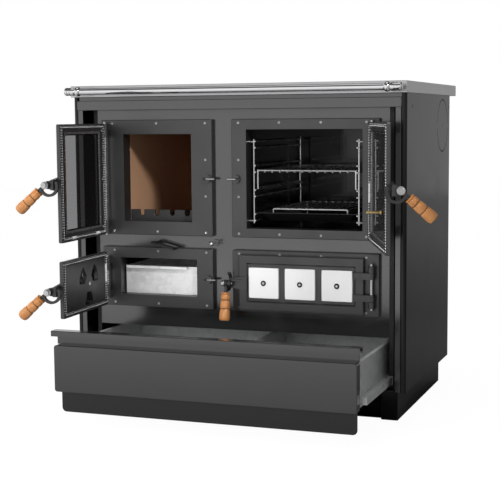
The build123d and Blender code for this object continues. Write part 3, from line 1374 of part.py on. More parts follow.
def ash_fittings():
    """Spindle of the air disc with its inner nut, and the handle bolt."""
    z = ash.middle_z
    front = DOOR_OUTER - ROSETTE_THICK - 2 * FIT
    back = DOOR_INNER + SPINDLE_NUT_HEIGHT
    spindle = rod((ROSETTE_U, front - SPINDLE_HEAD_HEIGHT, z), (ROSETTE_U, back, z), SPINDLE_RADIUS)
    spindle += rod((ROSETTE_U, front - SPINDLE_HEAD_HEIGHT, z), (ROSETTE_U, front, z), SPINDLE_HEAD)
    spindle += rod((ROSETTE_U, DOOR_INNER, z), (ROSETTE_U, back, z), SPINDLE_NUT, 6)
    return group([spindle, pivot_bolt(ash)])


def tile_field():
    """Sunk field of the tiled door, as its range along u and up."""
    z = tile.door_z
    margin = TILE_FIELD_MARGIN
    return (DOOR_START + margin, tile.reach - margin), (z[0] + margin, z[1] - margin)


def tile_places():
    """Middles of the tiles along u."""
    middle = (DOOR_START + tile.reach) / 2
    return [middle + (i - (TILE_COUNT - 1) / 2) * TILE_PITCH for i in range(TILE_COUNT)]


def tile_door():
    """Solid door with a bevelled sunk field for the tiles and a raised rim inside."""
    cut = flared_cut(*tile_field(), DOOR_OUTER + TILE_FIELD_DEPTH, TILE_FIELD_DEPTH + FIT)
    rim_y = (DOOR_INNER, DOOR_INNER + SEAL_GAP - FIT)
    rim = door_border(tile, TILE_RIM_INSET, rim_y, TILE_RIM_WIDTH, DOOR_CORNER)
    door = door_plate(tile) - cut + rim
    back = DOOR_INNER - TILE_SCREW_HEAD
    for at in tile_places():
        door -= rod((at, -DOOR_START, tile.middle_z), (at, back, tile.middle_z), TILE_SCREW / 2 + PRESS_FIT)
    return door


def tiles():
    """Square glazed tiles with eased edges, each with a screw hole."""
    back = DOOR_OUTER + TILE_FIELD_DEPTH
    pieces = []
    for at in tile_places():
        z = (tile.middle_z - TILE_HEIGHT / 2, tile.middle_z + TILE_HEIGHT / 2)
        one = slab((at - TILE_WIDTH / 2, at + TILE_WIDTH / 2), (back - TILE_THICK, back), z, TILE_CORNER)
        one = chamfer(one.faces().sort_by(Axis.Y)[0].edges(), TILE_EDGE)
        ends = (at, back - TILE_THICK - 1, tile.middle_z), (at, back + 1, tile.middle_z)
        pieces.append(one - rod(*ends, TILE_SCREW / 2 + PRESS_FIT))
    return group(pieces)


def tile_fittings():
    """The tiles' centre screws and the handle bolt."""
    face = DOOR_OUTER + TILE_FIELD_DEPTH - TILE_THICK
    tip = DOOR_INNER - TILE_SCREW_HEAD - FIT
    pieces = [pivot_bolt(tile)]
    for at in tile_places():
        screw = rod((at, face - TILE_SCREW_HEAD, tile.middle_z), (at, face, tile.middle_z), TILE_SCREW)
        screw += rod((at, face, tile.middle_z), (at, tip, tile.middle_z), TILE_SCREW / 2)
        pieces.append(screw)
    return group(pieces)


def thermometer():
    """Oven thermometer: dial outside, stem through the pane and lock nut inside."""
    z = STEM_HEIGHT
    outer, inner = pane_y()
    dial = rod((STEM_U, outer - DIAL_THICK, z), (STEM_U, outer, z), DIAL_RADIUS)
    dial = chamfer(dial.edges().sort_by(Axis.Y)[0], DIAL_EDGE)
    stem = rod((STEM_U, outer, z), (STEM_U, inner + STEM_LENGTH, z), STEM_RADIUS)
    nut = rod((STEM_U, inner, z), (STEM_U, inner + NUT_LENGTH, z), STEM_NUT, 6)
    return dial + stem + nut


def oven_pane():
    """Oven door pane with the bore for the thermometer's stem."""
    reach = STEM_LENGTH
    bore = rod((STEM_U, -reach, STEM_HEIGHT), (STEM_U, reach, STEM_HEIGHT), STEM_RADIUS + PRESS_FIT)
    return door_glass(oven) - bore


def drawer_front():
    """Gloss drawer front folded as a shallow tray, open at the back."""
    y = (FRONT_PLANE, BOX_FRONT)
    z = (FRONT_BOTTOM, FRONT_BOTTOM + FRONT_HEIGHT)
    front = slab((-FRONT_HALF, FRONT_HALF), y, z, FRONT_CORNER)
    front = fillet(front.faces().sort_by(Axis.Y)[0].edges(), FRONT_EDGE)
    inside = slab(
        (-FRONT_HALF + SHEET, FRONT_HALF - SHEET), (y[0] + SHEET, y[1] + 1), (z[0] + SHEET, z[1] - SHEET),
        FRONT_CORNER - SHEET,
    )
    return front - inside


def drawer_grip():
    """Bent strip along the top of the drawer: an upright web under a forward-reaching hood."""
    bottom = FRONT_BOTTOM + FRONT_HEIGHT
    top = bottom + GRIP_RISE
    web_y = (BOX_FRONT - GRIP_WEB, BOX_FRONT)
    web = block((-FRONT_HALF, FRONT_HALF), web_y, (bottom, top))
    hood = block((-GRIP_HALF, GRIP_HALF), (FRONT_PLANE, BOX_FRONT), (top - GRIP_STRIP_HEIGHT, top))
    hood = fillet(hood.edges().filter_by(Axis.X).sort_by(Axis.Z)[-2:], GRIP_STRIP_EDGE)
    hollow_z = (top - GRIP_STRIP_HEIGHT - 1, top - SHEET)
    hollow = block((-GRIP_HALF - 1, GRIP_HALF + 1), (FRONT_PLANE + SHEET, web_y[0]), hollow_z)
    return web + (hood - hollow)


def drawer_box():
    """Drawer body with turned-in rims, its divider and the two sliding members."""
    y = (BOX_FRONT, BOX_FRONT + DRAWER_LENGTH)
    z = (DRAWER_BOTTOM, DRAWER_BOTTOM + DRAWER_HEIGHT)
    box = block((-DRAWER_HALF, DRAWER_HALF), y, z)
    well = block(
        (-DRAWER_HALF + SHEET, DRAWER_HALF - SHEET), (y[0] + SHEET, y[1] - SHEET), (z[0] + SHEET, z[1] - SHEET)
    )
    mouth = block(
        (-DRAWER_HALF + DRAWER_RIM, DRAWER_HALF - DRAWER_RIM), (y[0] + DRAWER_RIM, y[1] - DRAWER_RIM),
        (z[1] - SHEET - 1, z[1] + 1),
    )
    pieces = [box - well - mouth]
    x = DRAWER_DIVIDER_X
    pieces.append(block((x, x + SHEET), (y[0] + SHEET, y[1] - SHEET), (z[0] + SHEET, z[1] - SHEET)))
    low = RUNNER_BOTTOM + RUNNER_WALL + FIT
    high = RUNNER_BOTTOM + RUNNER_HEIGHT - RUNNER_WALL - FIT
    outer = CORE_HALF - SHEET - RUNNER_WALL - FIT
    for sign in (-1, 1):
        ends = sorted((sign * DRAWER_HALF, sign * outer))
        pieces.append(block(tuple(ends), (y[0] + SLIDE_START, y[1]), (low, high)))
    return group(pieces)


def kick_panel():
    """Panel below the drawer front that hides the plinth, with rounded lower corners."""
    y = (BOX_FRONT, BOX_FRONT + SHEET)
    panel = slab((-KICK_HALF, KICK_HALF), y, (KICK_BOTTOM, DRAWER_BOTTOM + KICK_CORNER), KICK_CORNER)
    panel -= block((-KICK_HALF - 1, KICK_HALF + 1), (y[0] - 1, y[1] + 1), (DRAWER_BOTTOM, 2 * DRAWER_BOTTOM))
    flange_y = (y[0], y[0] + KICK_FLANGE)
    return panel + block((-KICK_HALF, KICK_HALF), flange_y, (DRAWER_BOTTOM - SHEET, DRAWER_BOTTOM))


def drawer_runners():
    """Channels on the carcass walls that carry the drawer's sliding members."""
    wall = CORE_HALF - SHEET
    inner = DRAWER_HALF + RUNNER_GAP
    z = (RUNNER_BOTTOM, RUNNER_BOTTOM + RUNNER_HEIGHT)
    channel = block((inner, wall), (CORE_FRONT + SHEET, BACK_Y - RUNNER_SHORT), z)
    channel -= block(
        (inner - 1, wall - RUNNER_WALL), (CORE_FRONT, BACK_Y), (z[0] + RUNNER_WALL, z[1] - RUNNER_WALL)
    )
    return group([channel, mirror(channel, about=Plane.YZ)])


parts = {
    "side_panel_left": side_panel(-1),
    "side_panel_right": side_panel(1),
    "front_surround": front_surround(),
    "core_sheets": core_sheets(),
    "front_plate": front_plate(),
    "firebox_frame": cast_frame(firebox),
    "oven_frame": cast_frame(oven),
    "ash_frame": cast_frame(ash),
    "tile_frame": cast_frame(tile),
    "frame_screws": frame_screws(),
    "steel_pins": steel_pins(),
    "hob_frame": hob_frame(),
    "hob_plate": hob_plate(),
    "hob_lid": hob_lid(),
    "towel_rail": towel_rail(),
    "rear_panel": rear_panel(),
    "flue_collar": flue_collar(),
    "plinth": plinth(),
    "firebox_shell": firebox_shell(),
    "firebricks": firebricks(),
    "log_bar": log_bar(),
    "bottom_grate": bottom_grate(),
    "shaker_grate": shaker_grate(),
    "shaker_lever": shaker_lever(),
    "air_knob": air_knob(),
    "ash_pan": ash_pan(),
    "oven_box": oven_box(),
    "oven_racks": oven_racks(),
    "oven_shelf": oven_shelf(),
    "baking_tray": baking_tray(),
    "tray_grid": tray_grid(),
    "drawer_front": drawer_front(),
    "drawer_grip": drawer_grip(),
    "drawer_box": drawer_box(),
    "kick_panel": kick_panel(),
    "drawer_runners": drawer_runners(),
    "firebox_door": firebox.hung(glazed_door(firebox)),
    "firebox_glass": firebox.hung(door_glass(firebox)),
    "firebox_door_fittings": firebox.hung(group([glass_retainer(firebox), pivot_bolt(firebox)])),
    "oven_door": oven.hung(glazed_door(oven)),
    "oven_glass": oven.hung(oven_pane()),
    "oven_door_fittings": oven.hung(group([glass_retainer(oven), pivot_bolt(oven)])),
    "oven_thermometer": oven.hung(thermometer()),
    "ash_door": ash.hung(ash_door()),
    "ash_door_fittings": ash.hung(ash_fittings()),
    "air_rosette": ash.hung(air_rosette()),
    "tile_door": tile.hung(tile_door()),
    "door_tiles": tile.hung(tiles()),
    "tile_door_fittings": tile.hung(tile_fittings()),
}
for way in doorways:
    if way is not tile:
        parts[way.name + "_rope"] = way.hung(door_rope(way))
    parts[way.name + "_claw"] = way.hung(claw(way))
    parts[way.name + "_grip"] = way.hung(grip(way))

for name, piece in parts.items():
    export_step(Pos(0, -BASE_MIDDLE, 0) * piece, f"parts/{name}.step")
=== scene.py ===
import json
from math import cos, pi, radians, sin

import bmesh
import bpy
import numpy as np
from mathutils import Matrix, Vector

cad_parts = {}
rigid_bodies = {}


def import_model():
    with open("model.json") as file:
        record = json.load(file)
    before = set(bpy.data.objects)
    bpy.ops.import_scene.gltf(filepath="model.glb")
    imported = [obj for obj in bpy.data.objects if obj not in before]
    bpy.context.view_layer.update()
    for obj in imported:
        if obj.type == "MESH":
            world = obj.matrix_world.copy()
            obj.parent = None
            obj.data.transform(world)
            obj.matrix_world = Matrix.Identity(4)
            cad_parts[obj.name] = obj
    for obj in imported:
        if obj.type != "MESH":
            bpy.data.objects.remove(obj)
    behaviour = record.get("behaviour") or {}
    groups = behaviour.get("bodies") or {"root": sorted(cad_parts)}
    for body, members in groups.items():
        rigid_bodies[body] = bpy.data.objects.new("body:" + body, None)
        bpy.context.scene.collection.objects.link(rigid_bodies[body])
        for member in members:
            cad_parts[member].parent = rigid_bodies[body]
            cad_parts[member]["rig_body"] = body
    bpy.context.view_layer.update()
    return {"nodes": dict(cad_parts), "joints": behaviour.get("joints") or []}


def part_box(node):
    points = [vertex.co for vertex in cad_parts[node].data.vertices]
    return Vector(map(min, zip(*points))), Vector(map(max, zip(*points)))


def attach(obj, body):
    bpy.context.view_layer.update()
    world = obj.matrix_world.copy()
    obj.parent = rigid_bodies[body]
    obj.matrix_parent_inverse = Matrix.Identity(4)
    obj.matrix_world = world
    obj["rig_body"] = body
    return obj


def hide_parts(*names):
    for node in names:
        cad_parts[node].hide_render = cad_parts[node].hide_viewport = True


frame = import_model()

bl_info = {
    "name": "Wood Cook Stove",
    "version": (1, 0, 0),
    "blender": (4, 5, 0),
    "location": "3D View > Sidebar > Stove",
    "description": "Dresses the packed model of a wood-fired kitchen stove with its finishes and fine parts",
    "category": "Object",
}

# Lengths are in metres, but profiles and the places on doors are in millimetres.
# X runs to the right, Y to the back and Z up from the floor.
MM = 0.001
FRONT_OF_POSTS = -0.328

# Half the floor's side, its colour, and how white the camera sees it.
FLOOR_HALF = 9.0
FLOOR_COLOUR = (0.55, 0.55, 0.55)
FLOOR_LIFT = 0.88

# Angles between faces: sharper edges are shaded sharp, get a bevel, or keep their two faces apart.
SHARP_ANGLE = radians(32)
BEVEL_ANGLE = radians(35)
JOIN_ANGLE = radians(0.4)

# Widths of the eased edges of single pieces, and of the doors' fittings.
EASED = {
    "hob_frame": 0.0012, "firebricks": 0.0015, "shaker_lever": 0.0006,
    "ash_pan": 0.0004, "air_rosette": 0.0005,
}
FITTING_EASE = 0.0004

# The towel rail's height and distance ahead of the posts, and its brackets' distance from the
# middle, in millimetres.
RAIL_HEIGHT, RAIL_AHEAD, BRACKET_PLACE = 835, 44, 411

# How deep the frame screws' heads lie behind the posts' front, and how far the pane screws are
# from the hinge and proud of the glass, in millimetres.
SCREW_DEPTH = 25.95
PANE_SCREW_REACH, PANE_SCREW_LIFT = 37.5, 1.5

# Length of one twist of the braid, then the step along a rope in millimetres and the points round it.
ROPE_PITCH = 0.0125
ROPE_STEP = 1.1
ROPE_SIDES = 20

# Places along a grip from its pivot, and a tile's width, in millimetres.
GRIP_GROOVES = (43.44, 65.76)
GRIP_MIDDLE = 60.0
TILE_WIDTH = 80.0

# The camera that was worked out from the photograph.
CAMERA_PLACE = Vector((1.122, -3.257, 0.762))
CAMERA_AZIMUTH = radians(20.18)
CAMERA_ELEVATION = radians(6.06)
CAMERA_ROLL = radians(-0.47)
FOCAL_PIXELS = 1237.6
IMAGE_SIDE = 500
SENSOR_WIDTH = 36.0

# The soft spot: watts, size, width of its cone, place and aim. Then the soft boxes: name, place,
# aim, width, height and watts.
FIRE_SPOT = (300, 0.28, radians(17), (1.63, -2.12, 2.08), (-0.26, -0.3, 0.52))
SOFT_BOXES = (
    ("front_box", (-1.2, -4.2, 1.3), (0.0, -0.3, 0.55), 3.0, 1.8, 92),
    ("top_box", (-0.2, -0.6, 3.2), (0.0, -0.1, 0.5), 2.4, 1.4, 30),
    ("left_box", (-2.6, -1.2, 1.3), (0.0, -0.3, 0.4), 0.9, 1.4, 16),
)

# Brightness of the surroundings from straight below (0) to straight above (1), to matt and to
# glossy rays. Then the direction of the far side, and the range of the share of a ray along it
# over which they dim, with the factors at its two ends.
SOFT_DOME = ((0.0, 0.05), (0.45, 0.10), (0.62, 0.30), (1.0, 0.60))
MIRRORED_DOME = ((0.0, 0.5), (0.5, 0.92), (0.66, 1.0), (0.74, 0.18), (0.93, 0.04), (0.985, 1.0), (1.0, 1.0))
FAR_SIDE = (0.82, 0.57, 0.0)
FAR_SIDE_DIMMING = (-0.2, 0.7, 1.0, 0.42)

# Profiles of turned parts: (distance along, radius) in millimetres. The air knob also has its
# ball's radius and place.
BRACKET_STEM = ((0, 0), (0, 6), (28, 6), (30.5, 8.5), (32, 8.5), (32, 0))
PAN_HEAD = ((0, 0), (0, 3.4), (0.8, 3.4), (1.9, 2.8), (2.3, 1.8), (2.3, 1.1), (1.4, 0.9), (1.4, 0))
KNOB_BALL, KNOB_PLACE = 6.5, (-62, 5, 443)
KNOB_ROD = ((7.5, 3), (64, 3), (64, 13.8), (64.3, 14), (67.7, 14), (68, 13.8), (68, 0))
TILE_CAP = ((-1.4, 0), (-1.4, 7), (0.2, 7), (0.7, 6.3), (0.9, 5), (0.9, 2.7), (0.1, 2.3), (0.1, 0))
BEZEL = ((0, 0), (0, 23.5), (1.2, 24), (5.5, 24), (7.2, 23.5), (8, 22.2), (7.8, 21.2), (6.2, 20.6), (6.2, 0))
DIAL = ((6, 0), (6, 20.4), (6.4, 20.4), (6.4, 0))
DIAL_FACE, DIAL_HEIGHT, POINTER_TURN = 6.4, 552.0, radians(212)
POINTER_HUB = ((0, 0), (0, 1.6), (0.6, 1.4), (0.8, 0))

joints = {joint["name"]: joint for joint in frame["joints"]}


# Shapes: every new piece is gathered here from grids of points.


class Shape:
    """Grids of points gathered into one mesh, each grid with its own flat coordinates."""

    def __init__(self):
        self.points, self.faces, self.flat, self.count = [], [], [], 0

    def add(self, grid, around=False, along=False, flat=None):
        """Adds a surface: point (i, j) of the grid is joined to (i + 1, j) and (i, j + 1).
        around closes the second direction and along the first."""
        rows, columns = grid.shape[:2]
        steps = np.arange(rows if along else rows - 1), np.arange(columns if around else columns - 1)
        i, j = np.meshgrid(*steps, indexing="ij")
        corners = ((i, j), (i + 1, j), (i + 1, j + 1), (i, j + 1))
        face = [(a % rows) * columns + b % columns for a, b in corners]
        if flat is None:
            flat = (1.0 / max(rows - 1, 1), 1.0 / columns)
        place = [np.stack((a * flat[0], b * flat[1]), -1) for a, b in corners]
        self.points.append(grid.reshape(-1, 3))
        self.faces.append(np.stack(face, -1).reshape(-1, 4) + self.count)
        self.flat.append(np.stack(place, -2).reshape(-1, 2))
        self.count += rows * columns
        return self

    def turn(self, profile, start, direction, sides, across=None, flat=None):
        """Adds a turned piece from its profile."""
        grid = turned(np.asarray(profile, float) * MM, start, direction, sides, across)
        return self.add(grid, around=True, flat=flat)

    def bar(self, start, end, radius, sides=10):
        """Adds a straight round bar between two points, each end eased by a quarter of the radius."""
        way = np.subtract(end, start)
        size, cut = np.linalg.norm(way), radius / 4
        neck = radius - cut
        profile = ((0, 0), (0, neck), (cut, radius), (size - cut, radius), (size, neck), (size, 0))
        return self.add(turned(profile, start, way, sides), around=True)

    def rod(self, start, end, radius, sides=10):
        """Adds a bar between two points given from the front of the posts."""
        return self.bar(design(*start), design(*end), radius, sides)

    def wire(self, corners, radius, bend, flat_normal, closed=False):
        """Adds a bent wire along a run of corners."""
        path = bent_path(corners, bend, closed=closed)
        return self.add(swept(path, radius, flat_normal, closed=closed), around=True, along=closed)

    def build(self, name, body, finish, replaces=(), slot=None, merge=True, local=None):
        """Makes the object, closes its poles and seams, turns its faces outwards and lets it ride."""
        mesh = bpy.data.meshes.new(name)
        points = np.concatenate(self.points)
        mesh.from_pydata(points.tolist(), [], np.concatenate(self.faces).tolist())
        layer = mesh.uv_layers.new(name="surface")
        layer.data.foreach_set("uv", np.concatenate(self.flat).astype(np.float32).ravel())
        if local is not None:
            spot = mesh.attributes.new("own_place", "FLOAT_VECTOR", "POINT")
            spot.data.foreach_set("vector", local(points).astype(np.float32).ravel())
        if merge:
            close_up(mesh)
        return finished(name, mesh, body, finish, replaces, slot)


def close_up(mesh):
    """Merges the points that lie on each other and makes the faces point outwards."""
    work = bmesh.new()
    work.from_mesh(mesh)
    bmesh.ops.remove_doubles(work, verts=work.verts, dist=2e-6)
    bmesh.ops.recalc_face_normals(work, faces=work.faces)
    work.to_mesh(mesh)
    work.free()


def finished(name, mesh, body, finish, replaces=(), slot=None):
    """Links a mesh as a smooth-shaded piece that rides on a body and stands for some nodes. It
    works out a slot, its finish's own unless one is given, but the slot is not used."""
    mesh.validate()
    mesh.shade_smooth()
    mesh.set_sharp_from_angle(angle=SHARP_ANGLE)
    mesh.materials.clear()
    mesh.materials.append(finishes[finish])
    piece = bpy.data.objects.new(name, mesh)
    bpy.context.scene.collection.objects.link(piece)
    slot = slot or SLOTS.get(finish, finish)
    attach(piece, body)
    if replaces:
        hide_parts(*replaces)
    return piece


def unit(ways):
    """Directions made one long."""
    return ways / np.linalg.norm(ways, axis=-1, keepdims=True)


def circle(sides, first, second):
    """Points round a circle: cos a * first + sin a * second."""
    turn = np.linspace(0, 2 * pi, sides, endpoint=False)[:, None]
    return np.cos(turn) * first + np.sin(turn) * second


def turned(profile, start, direction, sides, across=None):
    """Grid of a turned piece: each profile point (distance along, radius) becomes a ring about
    the line from start, ring point = start + distance * direction + radius * (cos a, sin a)."""
    profile = np.asarray(profile, float)
    direction = unit(np.asarray(direction, float))
    if across is None:
        across = (0, 0, 1) if abs(direction[2]) < 0.9 else (1, 0, 0)
    side = unit(np.cross(direction, across))
    middle = np.asarray(start, float) + profile[:, :1] * direction
    return middle[:, None] + profile[:, 1:, None] * circle(sides, side, np.cross(direction, side))


def bent_path(corners, bend, steps=6, closed=False):
    """Points along a run of straight lines whose corners are rounded: each corner becomes a
    quadratic curve from a bend's length before it to a bend's length after it."""
    corners = np.asarray(corners, float)
    ends = []
    for shift in (1, -1):
        way = np.roll(corners, shift, 0) - corners
        size = np.linalg.norm(way, axis=1, keepdims=True)
        ends.append(corners + way / size * np.minimum(bend, size / 2))
    first, middle, last = (points[:, None] for points in (ends[0], corners, ends[1]))
    t = np.linspace(0, 1, steps + 1)[None, :, None]
    curve = (1 - t) ** 2 * first + 2 * t * (1 - t) * middle + t ** 2 * last
    if closed:
        return curve.reshape(-1, 3)
    return np.concatenate((corners[:1], curve[1:-1].reshape(-1, 3), corners[-1:]))


def swept(path, radius, flat_normal, sides=10, closed=False):
    """Grid of a round tube along a path that lies in one plane: ring point = path point +
    radius * (cos a * normal of the plane + sin a * (normal x direction))."""
    ahead = np.roll(path, -1, 0) - path
    behind = path - np.roll(path, 1, 0)
    if not closed:
        ahead[-1], behind[0] = behind[-1], ahead[0]
    along = unit(unit(ahead) + unit(behind))
    normal = np.asarray(flat_normal, float)
    side = np.cross(normal, along)
    side /= np.maximum(np.einsum("ij,ij->i", side, np.cross(normal, unit(ahead))), 0.5)[:, None]
    grid = path[:, None] + radius * circle(sides, normal, side[:, None])
    if closed:
        return grid
    ends = [np.broadcast_to(path[k], (1, sides, 3)) for k in (0, -1)]
    return np.concatenate((ends[0], grid, ends[1]))


def even_steps(path, step):
    """A closed path's points again, spaced evenly by about a step."""
    ring = np.concatenate((path, path[:1]))
    gaps = np.linalg.norm(np.diff(ring, axis=0), axis=1)
    far = np.concatenate(((0,), np.cumsum(gaps)))
    at = np.linspace(0, far[-1], int(round(far[-1] / step)), endpoint=False)
    return np.stack([np.interp(at, far, ring[:, k]) for k in range(3)], -1)


def eased_steps():
    """Steps from -1 to 1 that crowd towards both ends."""
    fine = np.array((0, 0.25, 0.6, 1.1, 1.7, 2.6)) / 40.0
    inner = np.linspace(fine[-1], 2 - fine[-1], 23)
    return np.concatenate((fine[:-1], inner, 2 - fine[-2::-1])) - 1


def design(x, y, z):
    """A point given in millimetres from the front of the posts, in the shared frame."""
    return np.array((x * MM, FRONT_OF_POSTS + y * MM, z * MM))


def box_of(node):
    """Lowest and highest corner of a CAD node at rest, in millimetres from the front of the posts."""
    return [(np.array(corner) - (0, FRONT_OF_POSTS, 0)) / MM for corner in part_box(node)]


class Door:
    """One of the four doors and its own frame: u from the hinge to the free edge, y inwards, z up."""

    def __init__(self, name, side, opened, handle):
        self.name, self.side = name, side
        self.body, self.handle_body = name + "_door", name + "_handle"
        self.hinge = np.array(joints[name + "_door_hinge"]["pos_m"])
        self.pivot = np.array(joints[name + "_handle_turn"]["pos_m"])
        turn, down = radians(side * opened), radians(handle)
        self.u_axis = -side * np.array((cos(turn), sin(turn), 0.0))
        self.y_axis = np.array((-sin(turn), cos(turn), 0.0))
        self.z_axis = np.array((0.0, 0.0, 1.0))
        self.grip_axis = -cos(down) * self.y_axis - sin(down) * self.z_axis

    def place(self, points):
        """Turns points (u, y, z), in millimetres with z from the floor, into the shared frame."""
        u, y, z = np.split(np.asarray(points, float) * MM, 3, -1)
        return self.hinge * (1, 1, 0) + u * self.u_axis + y * self.y_axis + z * self.z_axis

    def measure(self, node):
        """Lowest and highest (u, y, z) of a CAD node in the door's own frame, in millimetres."""
        data = frame["nodes"][node].data
        points = np.empty(len(data.vertices) * 3, np.float32)
        data.vertices.foreach_get("co", points)
        away = (points.reshape(-1, 3) - self.hinge * (1, 1, 0)) / MM
        own = np.stack((away @ self.u_axis, away @ self.y_axis, away @ self.z_axis), -1)
        return own.min(0), own.max(0)


# Each door's hinge side (-1 left, 1 right), how far it stands open, and how far its grip points
# below the level, in degrees.
doors = {
    "firebox": Door("firebox", -1, 88, 41),
    "oven": Door("oven", 1, 111, 41),
    "ash": Door("ash", -1, 88, 41),
    "tile": Door("tile", 1, 0, 80),
}


# Finishes: node trees, with shader sums written as ordinary arithmetic.


class Wire:
    """A value in a node tree: sums and products of it add Math nodes."""

    def __init__(self, nodes, socket):
        self.nodes, self.socket = nodes, socket

    def __add__(self, other):
        return self.nodes.math("ADD", self, other)

    __radd__ = __add__

    def __mul__(self, other):
        return self.nodes.math("MULTIPLY", self, other)

    __rmul__ = __mul__

    def __sub__(self, other):
        return self.nodes.math("SUBTRACT", self, other)

    def __rsub__(self, other):
        return self.nodes.math("SUBTRACT", other, self)

    def __pow__(self, other):
        return self.nodes.math("POWER", self, other)

    def __gt__(self, other):
        return self.nodes.math("GREATER_THAN", self, other)


class Nodes:
    """A node tree. All its nodes come from node()."""

    def __init__(self, tree):
        self.tree = tree

    def node(self, kind, settings=None, inputs=None, output=0):
        """Adds a node: its settings first, then the values or links of its sockets."""
        made = self.tree.nodes.new(kind)
        for name, value in (settings or {}).items():
            if name == "stops":
                set_stops(made.color_ramp, *value)
            else:
                setattr(made, name, value)
        for key, value in (inputs or {}).items():
            self.feed(pick(made.inputs, key), value)
        return Wire(self, pick(made.outputs, output)) if len(made.outputs) else made

    def feed(self, socket, value):
        """Links a wire to a socket, or sets the socket's own value."""
        if isinstance(value, Wire):
            self.tree.links.new(value.socket, socket)
        elif socket.type == "RGBA":
            socket.default_value = with_alpha(value)
        else:
            socket.default_value = value

    def math(self, operation, first, second):
        """One Math node."""
        return self.node("ShaderNodeMath", {"operation": operation}, {0: first, 1: second})

    def sine(self, value):
        """Sine of a value."""
        return self.node("ShaderNodeMath", {"operation": "SINE"}, {0: value})

    def split(self, vector):
        """The three parts of a vector."""
        first = self.node("ShaderNodeSeparateXYZ", None, {0: vector})
        return [Wire(self, socket) for socket in first.socket.node.outputs]

    def ray(self, kind):
        """1 for the rays of a kind and 0 for the others."""
        return self.node("ShaderNodeLightPath", output=f"Is {kind} Ray")

    def between(self, value, low, high, out_low=0.0, out_high=1.0):
        """Stretches the range from low to high to the range of the output, and clips it."""
        return self.node(
            "ShaderNodeMapRange", {"clamp": True},
            {"Value": value, "From Min": low, "From Max": high, "To Min": out_low, "To Max": out_high},
        )

    def colour(self, factor, first, second):
        """Mixes two colours."""
        return self.node(
            "ShaderNodeMix", {"data_type": "RGBA", "blend_type": "MIX"},
            {"Factor_Float": factor, "A_Color": first, "B_Color": second}, "Result_Color",
        )

    def tones(self, factor, colour, low, high):
        """Mixes two shares of one colour."""
        return self.colour(factor, shade(colour, low), shade(colour, high))

    def blend(self, factor, first, second):
        """Mixes two shaders."""
        return self.node("ShaderNodeMixShader", None, {0: factor, 1: first, 2: second})


class Finish(Nodes):
    """One material, with the wire of its main shader."""

    def __init__(self, name):
        self.material = bpy.data.materials.new(name)
        self.material.use_nodes = True
        super().__init__(self.material.node_tree)
        self.shader = self.tree.nodes["Principled BSDF"]
        self.main = Wire(self, self.shader.outputs[0])

    def place(self, scale=(1, 1, 1), own=False):
        """Object coordinates, or the piece's own stored ones, stretched by scale."""
        if own:
            found = self.node("ShaderNodeAttribute", {"attribute_name": "own_place"}, None, "Vector")
        else:
            found = self.node("ShaderNodeTexCoord", output="Object")
        return self.node("ShaderNodeMapping", None, {"Vector": found, "Scale": scale})

    def grain(self, scale, detail, place=None, rough=0.55):
        """Soft noise from 0 to 1, scale spots to the metre."""
        place = place or self.place()
        return self.node(
            "ShaderNodeTexNoise", None,
            {"Vector": place, "Scale": scale, "Detail": detail, "Roughness": rough},
        )

    def cells(self, scale, output=0):
        """Cell pattern: distance to the nearest cell's middle, or its random colour."""
        return self.node("ShaderNodeTexVoronoi", None, {"Vector": self.place(), "Scale": scale}, output)

    def bump(self, height, strength, depth):
        """Bends the normal by a height."""
        return self.node("ShaderNodeBump", None, {"Height": height, "Strength": strength, "Distance": depth})

    def coat(self, **values):
        """Sets the main shader's own sockets, named with underscores for spaces."""
        for key, value in values.items():
            self.feed(self.shader.inputs[key.replace("_", " ")], value)
        return self.material

    def show(self, shader):
        """Sends a shader to the material's output."""
        self.feed(self.tree.nodes["Material Output"].inputs["Surface"], shader)
        return self.material


def set_stops(ramp, way, stops):
    """Gives a colour ramp its interpolation and its stops, as (position, grey level) pairs."""
    ramp.interpolation = way
    while len(ramp.elements) < len(stops):
        ramp.elements.new(1.0)
    for element, (position, level) in zip(ramp.elements, stops):
        element.position = position
        element.color = (level, level, level, 1.0)


def pick(sockets, key):
    """A socket by number, identifier or name."""
    if isinstance(key, int):
        return sockets[key]
    for socket in sockets:
        if socket.identifier == key:
            return socket
    return sockets[key]


def with_alpha(colour):
    """A colour with full alpha."""
    return tuple(colour)[:3] + (1.0,)


def shade(colour, share):
    """A colour made lighter or darker by a share."""
    return tuple(min(1.0, c * share) for c in tuple(colour)[:3])


def stove_paint(name, colour, gloss, index):
    """Gloss stove paint on sheet steel: slow changes of tone, a fine skin and rubbed patches, with
    the refractive index of its hard metallic clear coat."""
    f = Finish(name)
    slow = f.grain(3.5, 2.0)
    fine = f.grain(420.0, 2.0)
    base = f.tones(slow, colour, 0.86, 1.14)
    base = f.colour(f.between(fine, 0.35, 0.75, 0.0, 0.35), base, shade(colour, 1.3))
    rubbed = f.between(f.grain(9.0, 5.0), 0.45, 0.7, 0.0, 0.07)
    skin = f.bump(f.grain(900.0, 2.0), 0.10, 0.0002)
    return f.coat(Base_Color=base, Roughness=rubbed + gloss, Normal=skin, IOR=index)


def casting_paint(name, colour, index, rough=0.42, depth=0.0004):
    """Painted casting: sand-cast skin with fine pits and a slightly uneven tone, with the
    refractive index of its paint."""
    f = Finish(name)
    pits = f.grain(520.0, 4.0, rough=0.65)
    lumps = f.grain(60.0, 3.0)
    base = f.tones(lumps, colour, 0.86, 1.14)
    base = f.colour(f.between(pits, 0.52, 0.72, 0.0, 0.6), base, shade(colour, 1.55))
    worn = f.between(f.grain(14.0, 4.0), 0.4, 0.7, -0.06, 0.08)
    height = pits * 0.7 + lumps * 0.5
    return f.coat(Base_Color=base, Roughness=worn + rough, Normal=f.bump(height, 0.25, depth), IOR=index)


